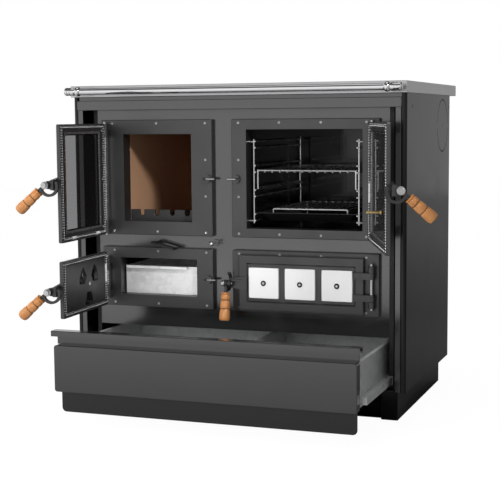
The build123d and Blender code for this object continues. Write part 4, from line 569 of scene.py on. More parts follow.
def bright_metal(name, colour, rough, streak=(6, 6, 500)):
    """Bare metal with fine drawing marks along its length."""
    f = Finish(name)
    lines = f.grain(1.0, 3.0, f.place(streak))
    smudge = f.grain(18.0, 3.0)
    base = f.tones(lines, colour, 0.86, 1.08)
    roughness = f.between(lines + smudge, 0.6, 1.4, rough - 0.06, rough + 0.1)
    return f.coat(Base_Color=base, Metallic=1.0, Roughness=roughness, Normal=f.bump(lines, 0.05, 0.0001))


def brushed_sheet(name, colour):
    """Brushed stainless sheet: the brush marks run along X on the front and top, along Y on the sides."""
    f = Finish(name)
    level = f.grain(1.0, 3.0, f.place((5, 5, 900)))
    upper = f.grain(1.0, 3.0, f.place((5, 900, 5)))
    on_top = f.split(f.node("ShaderNodeNewGeometry", output="Normal"))[2] > 0.7
    lines = level * (1 - on_top) + upper * on_top
    smudge = f.grain(7.0, 4.0)
    base = f.tones(lines, colour, 0.84, 1.1)
    roughness = f.between(lines * 0.7 + smudge * 0.3, 0.35, 0.65, 0.2, 0.38)
    return f.coat(Base_Color=base, Metallic=1.0, Roughness=roughness, Normal=f.bump(lines, 0.08, 0.0001))


def plated(name, colour):
    """Polished chrome plate with faint smears."""
    f = Finish(name)
    smear = f.grain(24.0, 4.0)
    base = f.tones(smear, colour, 0.93, 1.04)
    return f.coat(Base_Color=base, Metallic=1.0, Roughness=f.between(smear, 0.35, 0.75, 0.03, 0.07))


def fire_clay(name, colour):
    """Fire brick: sandy body with darker and paler grains, pores and a smoky bloom."""
    f = Finish(name)
    sand = f.grain(380.0, 4.0, rough=0.7)
    cloud = f.grain(9.0, 4.0)
    speck = f.between(f.cells(170.0), 0.05, 0.2, 1.0, 0.0)
    base = f.tones(sand, colour, 0.78, 1.2)
    base = f.colour(cloud * 0.5, base, shade(colour, 0.7))
    base = f.colour(speck * 0.35, base, shade(colour, 1.6))
    height = sand * 0.6 + cloud * 0.6 - speck * 0.4
    return f.coat(Base_Color=base, Roughness=sand * 0.1 + 0.84, Normal=f.bump(height, 0.5, 0.0008))


def zinc_sheet(name, colour, rough, bare):
    """Galvanised sheet: zinc spangles of differing tone and gloss, with rolling marks."""
    f = Finish(name)
    tone = f.node("ShaderNodeSeparateColor", None, {0: f.cells(75.0, "Color")}, 0)
    marks = f.grain(1.0, 3.0, f.place((7, 220, 220)))
    base = f.tones(tone * 0.55 + marks * 0.45, colour, 0.84, 1.12)
    roughness = tone * 0.12 + marks * 0.1 + rough
    skin = f.bump(marks + tone * 0.3, 0.06, 0.0002)
    return f.coat(Base_Color=base, Metallic=bare, Roughness=roughness, Normal=skin)


def fired_enamel(name, colour, rough, index):
    """Glossy fired enamel with a faint orange-peel skin and pinpricks of grey."""
    f = Finish(name)
    peel = f.grain(70.0, 2.0)
    speck = f.between(f.grain(1500.0, 2.0), 0.66, 0.74, 0.0, 0.5)
    base = f.tones(f.grain(4.0, 2.0), colour, 0.8, 1.25)
    base = f.colour(speck, base, shade(colour, 3.0))
    smear = f.between(f.grain(11.0, 4.0), 0.4, 0.75, 0.0, 0.12)
    return f.coat(
        Base_Color=base, Roughness=smear + rough, Coat_Weight=0.35, Coat_Roughness=0.06,
        Normal=f.bump(peel, 0.03, 0.0006), IOR=index,
    )


def glaze(name, colour):
    """White tile glaze: pooled tone, tiny pinholes and a soft ripple."""
    f = Finish(name)
    pool = f.grain(45.0, 3.0)
    pin = f.between(f.grain(900.0, 2.0), 0.68, 0.75, 0.0, 0.35)
    base = f.tones(pool, colour, 0.965, 1.0)
    base = f.colour(pin, base, shade(colour, 0.6))
    ripple = f.bump(pool, 0.08, 0.0006)
    return f.coat(Base_Color=base, Roughness=pool * 0.05 + 0.09, Coat_Weight=0.4, Normal=ripple)


def pane(name, tint, shine):
    """Heat-proof glass: a grey see-through layer under a gloss that grows towards the edges."""
    f = Finish(name)
    haze = f.between(f.grain(16.0, 4.0), 0.4, 0.7, 0.0, 0.05)
    f.coat(Base_Color=shade(tint, 0.12), Roughness=haze + 0.02)
    clear = f.node("ShaderNodeBsdfTransparent", None, {"Color": tint})
    rim = f.node("ShaderNodeLayerWeight", None, {"Blend": 0.5}, "Facing")
    return f.show(f.blend(rim ** 5 * (1 - shine) + shine, clear, f.main))


def braid(name, dark, light, pitch):
    """Braided glass-fibre rope: two families of strands cross, strand height = product of two
    sine waves that wind the opposite ways round the rope; its low parts are painted near-black as shade
    between the strands, and only its crests keep the pale colour."""
    f = Finish(name)
    along, around, _ = f.split(f.node("ShaderNodeTexCoord", output="UV"))
    run, wind = along * (2 * pi / pitch), around * (4 * pi)
    strand = f.sine(run + wind) * f.sine(run - wind)
    fibre = f.grain(2600.0, 2.0)
    # Painted shade: the low parts of the braid get the near-black colour, as shade between the strands.
    base = f.colour(f.between(strand + fibre * 0.2, 0.28, 0.5), dark, light)
    relief = f.bump(strand * 0.6 + fibre * 0.3, 0.6, 0.0008)
    return f.coat(Base_Color=base, Roughness=fibre * 0.1 + 0.8, Normal=relief)


def tape(name, colour):
    """Woven glass tape: a plain weave of sine waves along and around."""
    f = Finish(name)
    along, around, _ = f.split(f.node("ShaderNodeTexCoord", output="UV"))
    weave = f.sine(along * 5200.0) * f.sine(around * 120.0)
    base = f.tones(f.between(weave, -0.6, 0.8), colour, 0.8, 1.0)
    return f.coat(Base_Color=base, Roughness=weave * 0.05 + 0.72, Normal=f.bump(weave, 0.4, 0.0003))


def lacquered_wood(name, pale, dark):
    """Stained beech: long fibres and growth bands along the grip, short dark ray flecks, lacquer,
    and painted shade in each groove, dark where the squared distance from it is small."""
    f = Finish(name)
    fibres = f.grain(1.0, 4.0, f.place((40, 900, 900), True), 0.65)
    bands = f.grain(1.0, 2.0, f.place((9, 150, 150), True))
    flecks = f.between(f.grain(1.0, 2.0, f.place((330, 2200, 2200), True)), 0.62, 0.7, 0.0, 0.55)
    ring = f.between(f.sine(bands * 26.0), -0.4, 1.0)
    base = f.colour(ring * 0.55 + fibres * 0.5, pale, dark)
    base = f.colour(flecks, base, shade(dark, 0.45))
    along = f.split(f.place(own=True))[0]
    # Painted shade: each turned groove is darkened towards its middle.
    for groove in GRIP_GROOVES:
        away = along - (groove - GRIP_MIDDLE) * MM
        base = f.colour(f.between(away * away, 0.3e-6, 1.8e-6, 0.85, 0.0), base, shade(dark, 0.12))
    return f.coat(
        Base_Color=base, Roughness=fibres * 0.15 + 0.3, Coat_Weight=0.3, Coat_Roughness=0.2,
        Normal=f.bump(fibres - flecks, 0.12, 0.0003),
    )


def pale_floor(name, colour, lift):
    """Pale studio floor that stays white to the camera outside the stove's shadow. In gloss it shows a
    painted reflection: a painted white glow in front of the stove, and painted black shade to its sides and
    behind it."""
    f = Finish(name)
    f.coat(Base_Color=f.tones(f.grain(1.2, 2.0), colour, 0.985, 1.0), Roughness=0.9)
    mirrored = f.ray("Glossy")
    x, y, _ = f.split(f.place())
    # Painted light: glossy rays see the floor in front of the stove glow white.
    ahead = f.between(y, -0.8, -2.4) * f.between(x, 0.4, 2.2, 1.0, 0.0)
    # Painted shade: glossy rays see the floor to the sides of and behind the stove as black.
    painted_gloss_shade = f.between(y, -0.7, 0.0) * f.between(y, 1.5, 5.0, 1.0, 0.0)
    white = f.node("ShaderNodeEmission", None, {"Color": (1, 1, 1), "Strength": 1.1})
    black = f.node("ShaderNodeEmission", None, {"Color": (0, 0, 0), "Strength": 0.0})
    lit = f.blend(f.ray("Camera") * lift + mirrored * ahead * 0.75, f.main, white)
    return f.show(f.blend(mirrored * painted_gloss_shade * 0.6, lit, black))


finishes = {}

# The slot of each finish whose slot has another name.
SLOTS = {
    "post_black": "case_black", "kick_black": "case_black", "cast_dark": "cast_grey", "cast_hob": "cast_grey",
    "screw_steel": "steel", "dark_steel": "steel", "wire_chrome": "chrome", "glass_tape": "rope",
    "drawer_enamel": "enamel_black", "dial_white": "brass",
}


def make_finishes(colours):
    """Makes every material from the scene's stove colours."""
    recipes = {
        # case_black, post_black and kick_black are one paint; their differing index is painted light and
        # shade: it brightens the reflections of the posts and kick panel and darkens those of the side panels
        # and plinth.
        "case_black": (stove_paint, colours.case_black, 0.13, 1.34),
        "post_black": (stove_paint, colours.case_black, 0.14, 2.1),
        "kick_black": (stove_paint, colours.case_black, 0.14, 1.6),
        "inner_black": (stove_paint, colours.inner_black, 0.5, 1.45),
        "plate_grey": (stove_paint, colours.plate_grey, 0.15, 2.12),
        "cast_grey": (casting_paint, colours.cast_grey, 1.82),
        "cast_dark": (casting_paint, colours.cast_dark, 1.6),
        "cast_hob": (casting_paint, colours.cast_hob, 1.6, 0.36, 0.0003),
        "steel": (bright_metal, colours.steel, 0.24),
        "zinc_steel": (bright_metal, colours.zinc_steel, 0.3, (200, 200, 6)),
        "dark_steel": (bright_metal, colours.dark_steel, 0.36),
        "stainless": (brushed_sheet, colours.stainless),
        "chrome": (plated, colours.chrome),
        "firebrick": (fire_clay, colours.firebrick),
        "galvanised": (zinc_sheet, colours.galvanised, 0.24, 0.5),
        "drawer_zinc": (zinc_sheet, colours.drawer_zinc, 0.36, 0.4),
        "enamel_black": (fired_enamel, colours.enamel_black, 0.12, 1.38),
        "drawer_enamel": (fired_enamel, colours.drawer_enamel, 0.12, 1.85),
        "screw_steel": (bright_metal, colours.screw_steel, 0.3),
        "wire_chrome": (bright_metal, colours.chrome, 0.26, (300, 300, 300)),
        "glass": (pane, colours.glass, 0.06),
        "white_glaze": (glaze, colours.white_glaze),
        "brass": (bright_metal, colours.brass, 0.2),
        "rope": (braid, colours.rope_gap_shade, colours.rope_light, ROPE_PITCH),
        "glass_tape": (tape, colours.glass_tape),
        "beech": (lacquered_wood, colours.beech_pale, colours.beech_dark),
        "dial_white": (glaze, colours.white_glaze),
    }
    for name, (maker, *settings) in recipes.items():
        finishes[name] = maker(name, *settings)


# Settings that a user would change.


def length(name, default, description):
    """A length property, in metres."""
    return bpy.props.FloatProperty(
        name=name, default=default, description=description, unit="LENGTH", min=0.0, precision=5
    )


def paint(name, default, description):
    """A colour property, in linear light."""
    return bpy.props.FloatVectorProperty(
        name=name, default=default, description=description, subtype="COLOR", size=3, min=0.0, max=1.0
    )


class StoveSizes(bpy.types.PropertyGroup):
    """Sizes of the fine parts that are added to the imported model."""

    edge_ease: length("Sheet edge", 0.0007, "Width of the eased edges of the folded sheets")
    cast_ease: length("Casting edge", 0.0010, "Width of the eased edges of the castings")
    rope_radius: length("Rope radius", 0.0037, "Radius of the sealing ropes")
    wrap_length: length("Tape wrap", 0.0225, "Length of the tape that closes a rope's ends")
    screw_radius: length("Screw radius", 0.0034, "Radius of the sunk screws in the frames")
    rail_radius: length("Rail radius", 0.0083, "Radius of the towel rail")
    rack_wire: length("Rack wire", 0.0022, "Radius of the side racks' wire")
    shelf_wire: length("Shelf wire", 0.0024, "Radius of the shelf's frame wire")
    thin_wire: length("Thin wire", 0.0015, "Radius of the shelf's cross wires")
    tile_crown: length("Tile crown", 0.0005, "How far a tile's glaze swells above its edge")
    grip_groove: length("Grip groove", 0.0021, "Depth of the two turned grooves of a grip")


class StoveColours(bpy.types.PropertyGroup):
    """Colours of the finishes."""

    case_black: paint("Casing", (0.010, 0.010, 0.0105), "Gloss black paint of the outer sheets")
    inner_black: paint("Carcass", (0.012, 0.012, 0.0125), "Matt black paint of the inner sheets")
    plate_grey: paint("Front plate", (0.009, 0.009, 0.0095), "Dark gloss paint of the front plate")
    cast_grey: paint("Castings", (0.012, 0.012, 0.0125), "Painted cast iron of frames and doors")
    cast_dark: paint("Latches", (0.018, 0.018, 0.0185), "Darker cast iron of claws and grates")
    cast_hob: paint("Hob plate", (0.055, 0.055, 0.057), "Ground cast iron of the hob")
    steel: paint("Bright steel", (0.60, 0.60, 0.61), "Pins, bolts and screws")
    zinc_steel: paint("Zinc steel", (0.42, 0.42, 0.43), "Runners and the flue collar")
    screw_steel: paint("Frame screws", (0.48, 0.48, 0.48), "Dark steel screws of the frames")
    dark_steel: paint("Dark steel", (0.045, 0.045, 0.046), "Blackened shaker lever")
    stainless: paint("Stainless", (0.60, 0.60, 0.61), "Brushed frame of the hob")
    chrome: paint("Chrome", (0.82, 0.82, 0.83), "Rail, racks and shelf")
    firebrick: paint("Fire brick", (0.50, 0.28, 0.16), "Sandy brick of the fire space")
    galvanised: paint("Ash pan", (0.92, 0.93, 0.94), "Bright galvanised sheet")
    drawer_zinc: paint("Drawer box", (0.62, 0.635, 0.635), "Dull galvanised sheet")
    enamel_black: paint("Black enamel", (0.007, 0.007, 0.0075), "Oven box, tray and air disc")
    drawer_enamel: paint("Drawer front", (0.012, 0.012, 0.0125), "Gloss enamel of the drawer front")
    glass: paint("Panes", (0.50, 0.50, 0.505), "Grey that the panes give to what is behind them")
    white_glaze: paint("Tiles", (0.97, 0.97, 0.965), "White glaze")
    brass: paint("Brass", (0.70, 0.50, 0.22), "Stem of the thermometer")
    # The braid's dark colour is painted shade between its strands.
    rope_gap_shade: paint("Rope, dark", (0.012, 0.012, 0.012), "Gaps of the braid")
    rope_light: paint("Rope, light", (0.85, 0.85, 0.85), "Strands of the braid")
    glass_tape: paint("Tape", (0.85, 0.85, 0.83), "Tape round the ends of the ropes")
    beech_pale: paint("Grip, pale", (0.74, 0.34, 0.115), "Pale wood of the grips")
    beech_dark: paint("Grip, dark", (0.42, 0.15, 0.042), "Dark grain of the grips")


# Pieces.


def dress(finish, *nodes):
    """Gives CAD nodes that stay as they are a finish."""
    for node in nodes:
        slots = frame["nodes"][node].material_slots
        if not slots:
            raise RuntimeError(f"{node} has no material slot")
        for slot in slots:
            slot.material = finishes[finish]


def ease_nodes(finish, width, *nodes, segments=2, join=True):
    """Puts copies in the place of CAD nodes, each with its points merged, its flat faces joined
    and its sharp edges eased, on the body that its node rides on."""
    for node in nodes:
        source = frame["nodes"][node]
        mesh = source.data.copy()
        mesh.name = node + "_eased"
        work = bmesh.new()
        work.from_mesh(mesh)
        bmesh.ops.remove_doubles(work, verts=work.verts, dist=5e-6)
        if join:
            bmesh.ops.dissolve_limit(
                work, angle_limit=JOIN_ANGLE, use_dissolve_boundaries=False,
                verts=work.verts, edges=work.edges,
            )
        work.to_mesh(mesh)
        work.free()
        piece = finished(mesh.name, mesh, source["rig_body"], finish, (node,))
        bevel = piece.modifiers.new("eased edges", "BEVEL")
        bevel.width, bevel.segments = width, segments
        bevel.limit_method, bevel.angle_limit = "ANGLE", BEVEL_ANGLE
        bevel.use_clamp_overlap = True
        level = piece.modifiers.new("level faces", "WEIGHTED_NORMAL")
        level.keep_sharp, level.weight = True, 100


def prepared(context):
    """Makes the finishes once and gives the sizes that the pieces are made with."""
    if not finishes:
        make_finishes(context.scene.stove_colours)
    return context.scene.stove_sizes


class STOVE_OT_stage(bpy.types.Operator):
    """Floor, white surroundings, soft lamps and the camera"""

    bl_idname = "stove.stage"
    bl_label = "Stage and camera"
    bl_options = {"REGISTER", "UNDO"}

    def execute(self, context):
        prepared(context)
        scene = context.scene
        scene.view_settings.view_transform = "Standard"
        mesh = bpy.data.meshes.new("floor")
        corners = [(x * FLOOR_HALF, y * FLOOR_HALF, 0.0) for x, y in ((-1, -1), (1, -1), (1, 1), (-1, 1))]
        mesh.from_pydata(corners, [], [(0, 1, 2, 3)])
        mesh.materials.append(pale_floor("pale_floor", FLOOR_COLOUR, FLOOR_LIFT))
        floor = bpy.data.objects.new("floor", mesh)
        scene.collection.objects.link(floor)
        self.surroundings(scene)
        self.lamps(scene)
        self.camera(scene)
        return {"FINISHED"}

    def surroundings(self, scene):
        """World: white to the camera and through glass; in gloss a white backdrop that darkens
        upwards; and a soft grey dome to everything else, brighter above than at the sides. The
        backdrop and the dome are dimmer on the far side."""
        world = bpy.data.worlds.new("studio")
        scene.world = world
        world.use_nodes = True
        world.node_tree.nodes.clear()
        sky = Nodes(world.node_tree)
        seen = sky.math("MAXIMUM", sky.ray("Camera"), sky.ray("Transmission"))
        way = sky.node("ShaderNodeTexCoord", output="Generated")
        height = sky.between(sky.split(way)[2], -1.0, 1.0)
        dome = sky.node("ShaderNodeValToRGB", {"stops": ("EASE", SOFT_DOME)}, {0: height}, "Color")
        backdrop = sky.node("ShaderNodeValToRGB", {"stops": ("LINEAR", MIRRORED_DOME)}, {0: height}, "Color")
        glow = sky.colour(sky.ray("Glossy"), dome, backdrop)
        aside = sky.node("ShaderNodeVectorMath", {"operation": "DOT_PRODUCT"}, {0: way, 1: FAR_SIDE}, "Value")
        dimming = sky.between(aside, *FAR_SIDE_DIMMING)
        dimmed = sky.node("ShaderNodeVectorMath", {"operation": "SCALE"}, {0: glow, "Scale": dimming})
        soft = sky.node("ShaderNodeBackground", None, {"Color": dimmed, "Strength": 1.0})
        white = sky.node("ShaderNodeBackground", None, {"Color": (1, 1, 1), "Strength": 1.0})
        sky.node("ShaderNodeOutputWorld", None, {"Surface": sky.blend(seen, soft, white)})

    def lamps(self, scene):
        """A soft spot that falls through the firebox's opening onto its left wall, and soft boxes."""
        spot = bpy.data.lights.new("fire_spot", "SPOT")
        spot.energy, spot.shadow_soft_size, spot.spot_size, place, aim = FIRE_SPOT
        spot.spot_blend = 1.0
        self.hang(scene, spot, place, aim)
        for name, place, aim, width, height, watts in SOFT_BOXES:
            lamp = bpy.data.lights.new(name, "AREA")
            lamp.shape = "RECTANGLE"
            lamp.size, lamp.size_y, lamp.energy = width, height, watts
            self.hang(scene, lamp, place, aim).visible_glossy = False

    def hang(self, scene, lamp, place, aim):
        """Puts a lamp in its place, turned towards what it is aimed at."""
        holder = bpy.data.objects.new(lamp.name, lamp)
        scene.collection.objects.link(holder)
        ray = Vector(aim) - Vector(place)
        holder.matrix_world = Matrix.Translation(place) @ ray.to_track_quat("-Z", "Y").to_matrix().to_4x4()
        return holder

    def camera(self, scene):
        """Camera axes from its azimuth, elevation and roll; the lens from the focal length in pixels."""
        a, e, r = CAMERA_AZIMUTH, CAMERA_ELEVATION, CAMERA_ROLL
        back = Vector((sin(a) * cos(e), -cos(a) * cos(e), sin(e)))
        right = Vector((cos(a), sin(a), 0.0))
        up = back.cross(right)
        turn = Matrix((right * cos(r) + up * sin(r), up * cos(r) - right * sin(r), back)).transposed()
        lens = bpy.data.cameras.new("camera")
        lens.sensor_width = SENSOR_WIDTH
        lens.lens = FOCAL_PIXELS / IMAGE_SIDE * SENSOR_WIDTH
        camera = bpy.data.objects.new("camera", lens)
        scene.collection.objects.link(camera)
        camera.matrix_world = Matrix.Translation(CAMERA_PLACE) @ turn.to_4x4()
        scene.camera = camera


class STOVE_OT_casing(bpy.types.Operator):
    """Outer sheets, carcass, plinth and runners"""

    bl_idname = "stove.casing"
    bl_label = "Casing"
    bl_options = {"REGISTER", "UNDO"}

    def execute(self, context):
        ease = prepared(context).edge_ease
        ease_nodes("case_black", ease, "side_panel_left", "side_panel_right")
        ease_nodes("post_black", ease, "front_surround")
        ease_nodes("case_black", ease, "plinth")
        ease_nodes("kick_black", ease, "kick_panel")
        ease_nodes("plate_grey", ease, "front_plate")
        dress("inner_black", "core_sheets", "rear_panel", "firebox_shell")
        dress("zinc_steel", "drawer_runners", "flue_collar")
        return {"FINISHED"}


class STOVE_OT_castings(bpy.types.Operator):
    """Cast frames, doors, claws, grates and the hob"""

    bl_idname = "stove.castings"
    bl_label = "Castings"
    bl_options = {"REGISTER", "UNDO"}

    def execute(self, context):
        ease = prepared(context).cast_ease
        for name in doors:
            ease_nodes("cast_grey", ease, name + "_frame")
            ease_nodes("cast_grey", ease, name + "_door", join=name != "ash")
            ease_nodes("cast_dark", ease, name + "_claw")
        ease_nodes("cast_dark", ease, "log_bar")
        dress("cast_dark", "bottom_grate", "shaker_grate")
        ease_nodes("cast_hob", ease, "hob_plate", "hob_lid")
        return {"FINISHED"}


class STOVE_OT_hob_rail(bpy.types.Operator):
    """Brushed hob frame and the chrome towel rail"""

    bl_idname = "stove.hob_rail"
    bl_label = "Hob frame and rail"
    bl_options = {"REGISTER", "UNDO"}

    def execute(self, context):
        sizes = prepared(context)
        ease_nodes("stainless", EASED["hob_frame"], "hob_frame", segments=3)
        half = self.half_profile(sizes.rail_radius / MM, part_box("towel_rail")[1].x / MM)
        shape = Shape()
        profile = np.concatenate(((-1, 1) * half, half[::-1]))
        shape.turn(profile, design(0, -RAIL_AHEAD, RAIL_HEIGHT), (1, 0, 0), 48)
        for place in (-BRACKET_PLACE, BRACKET_PLACE):
            shape.turn(BRACKET_STEM, design(place, 4 - RAIL_AHEAD, RAIL_HEIGHT), (0, 1, 0), 24)
        shape.build("towel_rail_turned", "stove_body", "chrome", ("towel_rail",))
        return {"FINISHED"}

    def half_profile(self, radius, end):
        """From the rail's end inwards: (distance from the middle, radius) of the cap with its two
        grooves, the neck, the round bracket eye and the plain rail."""
        cap = (
            (0, 0), (0, 5.5), (0.7, 7.6), (2.2, 9.4), (4, 10.3), (9, 10.4), (10, 9), (12, 9), (13, 10.4),
            (16, 10.4), (17, 9), (19, 9), (20, 10.3), (27, 10),
        )
        turn = np.radians(np.linspace(20, 160, 15))
        eye = np.stack((7.8 * np.cos(turn), 6.2 + 6.3 * np.sin(turn)), -1)
        bracket = np.concatenate((((7.5, 8.6),), eye, ((-7.5, 8.4), (-9, radius))))
        cap = (end, 0) + np.multiply(cap, (-1, 1))
        return np.concatenate((cap, bracket + (BRACKET_PLACE, 0), ((0, radius),)))


class STOVE_OT_screws(bpy.types.Operator):
    """Sunk frame screws, pane screws, bolts and pins"""

    bl_idname = "stove.screws"
    bl_label = "Screws and bolts"
    bl_options = {"REGISTER", "UNDO"}

    def execute(self, context):
        sizes = prepared(context)
        shape = Shape()
        for x, z in self.places():
            shape.turn(self.sunk_head(sizes.screw_radius / MM), design(x, SCREW_DEPTH, z), (0, 1, 0), 24)
        shape.build("frame_screws_turned", "stove_body", "screw_steel", ("frame_screws",))
        for name in ("firebox", "oven"):
            door, shape = doors[name], Shape()
            low, high = door.measure(name + "_door")
            face = door.measure(name + "_glass")[1][1] + PANE_SCREW_LIFT
            for z in (low[2] + 22, (low[2] + high[2]) / 2 + 1, high[2] - 18):
                shape.turn(PAN_HEAD, door.place((PANE_SCREW_REACH, face, z)), door.y_axis, 20)
            shape.build(name + "_pane_screws", door.body, "steel")
        for name in doors:
            ease_nodes("steel", FITTING_EASE, name + "_door_fittings")
        dress("steel", "steel_pins")
        return {"FINISHED"}

    def sunk_head(self, radius):
        """Countersunk head with a round socket: (depth behind the face, radius) from the middle of
        the socket over the bright ring to the shank's end."""
        face = radius * 0.86
        return ((1.6, 0), (1.6, 1.2), (0.3, 1.5), (0, 1.9), (0, face), (0.3, radius), (2.8, radius), (2.8, 0))

    def places(self):
        """(x, z) of the frame screws in millimetres: two rows to a frame, a column at each side and
        between them, and two more in the outer column of the tall frames, a third apart."""
        upper, lower = (469.1, 751.6), (278.3, 417.3)
        found = []
        for columns in ((-84.9, -221.9, -348.7), (6.1, 115.7, 225.3, 342.1)):
            found += [(x, z) for x in columns for z in upper + lower]
            found += [(columns[0], upper[0] + (upper[1] - upper[0]) * share / 3) for share in (1, 2)]
        return found


class STOVE_OT_ropes(bpy.types.Operator):
    """Braided sealing ropes with their tape wraps"""

    bl_idname = "stove.ropes"
    bl_label = "Sealing ropes"
    bl_options = {"REGISTER", "UNDO"}

    def execute(self, context):
        sizes = prepared(context)
        wraps = {
            "firebox": (("foot", 62), ("foot", 200)),
            "oven": (("hinge", 558), ("hinge", 581)),
            "ash": (("hinge", 337.5), ("hinge", 361)),
        }
        for name, places in wraps.items():
            door = doors[name]
            low, high = door.measure(name + "_rope")
            inset, y = (high[1] - low[1]) / 2, (low[1] + high[1]) / 2
            low, high = low + inset, high - inset
            corners = [(low[0], y, low[2]), (high[0], y, low[2]), (high[0], y, high[2]), (low[0], y, high[2])]
            shape = Shape()
            self.rope(shape, door, corners, sizes.rope_radius / MM)
            shape.build(name + "_rope_braided", door.body, "rope", (name + "_rope",), merge=False)
            shape = Shape()
            for run, at in places:
                start = (at, y, low[2]) if run == "foot" else (low[0], y, at)
                way = door.u_axis if run == "foot" else door.z_axis
                self.wrap(shape, door.place(start), way, sizes)
            shape.build(name + "_rope_wraps", door.body, "glass_tape")
        return {"FINISHED"}

    def rope(self, shape, door, corners, radius):
        """Tube round the door: ring radius = rope radius * (0.94 + 0.06 * product of two sine waves
        that wind the opposite ways), so that the strands stand up to the rope's own radius."""
        path = even_steps(bent_path(corners, 4.0, 8, closed=True), ROPE_STEP)
        run = np.arange(len(path)) * ROPE_STEP
        turn = np.linspace(0, 2 * pi, ROPE_SIDES, endpoint=False)
        wind = run[:, None] * (2 * pi * MM / ROPE_PITCH)
        relief = np.sin(wind + 2 * turn) * np.sin(wind - 2 * turn)
        path = path[:, None]
        grid = swept(path[:, 0], radius, (0, 1, 0), ROPE_SIDES, closed=True)
        grid = door.place(path + (grid - path) * (0.94 + 0.06 * relief)[..., None])
        if door.side > 0:
            grid = grid[:, ::-1]
        shape.add(grid, around=True, along=True, flat=(ROPE_STEP * MM, 1 / ROPE_SIDES))

    def wrap(self, shape, start, way, sizes):
        """Sleeve of tape: profile that rises off the rope at both ends."""
        run = sizes.wrap_length / MM
        profile = np.multiply(
            ((0, 0.9), (0, 1.05), (0.6, 1.075), (run / 2, 1.06), (run - 0.6, 1.075), (run, 1.05), (run, 0.9)),
            (1, sizes.rope_radius / MM),
        )
        shape.turn(profile, start, way, 24, flat=(0.003, 1 / 24))


class STOVE_OT_grips(bpy.types.Operator):
    """Turned wooden grips of the four handles"""

    bl_idname = "stove.grips"
    bl_label = "Wooden grips"
    bl_options = {"REGISTER", "UNDO"}

    def execute(self, context):
        sizes = prepared(context)
        profile = self.profile(sizes.grip_groove / MM)
        for door in doors.values():
            shape = Shape().turn(profile, door.pivot, door.grip_axis, 40, door.u_axis)
            axes = np.stack((door.grip_axis, door.u_axis, np.cross(door.grip_axis, door.u_axis)), -1)
            middle = door.pivot + door.grip_axis * (GRIP_MIDDLE * MM) + door.u_axis * 0.007
            shape.build(
                door.name + "_grip_turned", door.handle_body, "beech", (door.name + "_grip",),
                local=lambda points: (points - middle) @ axes,
            )
        return {"FINISHED"}

    def profile(self, groove):
        """From the bore's bottom to the base: bore, top rim, then three parts whose radius =
        straight taper - groove * (1 - sin) ^ 2 along each part, and a rounded base."""
        points = [(73, 0), (73, 4.52), (24, 4.52), (24, 11)]
        points += [(24.5, 11.9), (26.6, 12), (27.2, 11.6), (27.8, 10.4)]
        stops = (28.6,) + GRIP_GROOVES + (90.0,)
        for low, high in zip(stops, stops[1:]):
            t = np.linspace(0, 1, 13)
            at = low + (high - low) * t
            taper = 11.6 + 2.5 * np.clip((at - 24) / 66, 0, 1)
            deep = groove * (1 - np.sin(pi * t)) ** 2
            if high == stops[-1]:
                deep[t > 0.5] *= 0.25
            at[1], at[-2] = low + 0.7, high - 0.7
            points += zip(at, taper - deep)
        return points + [(92.6, 13.2), (94.6, 12.2), (95.6, 11), (96, 9.5), (96, 0)]


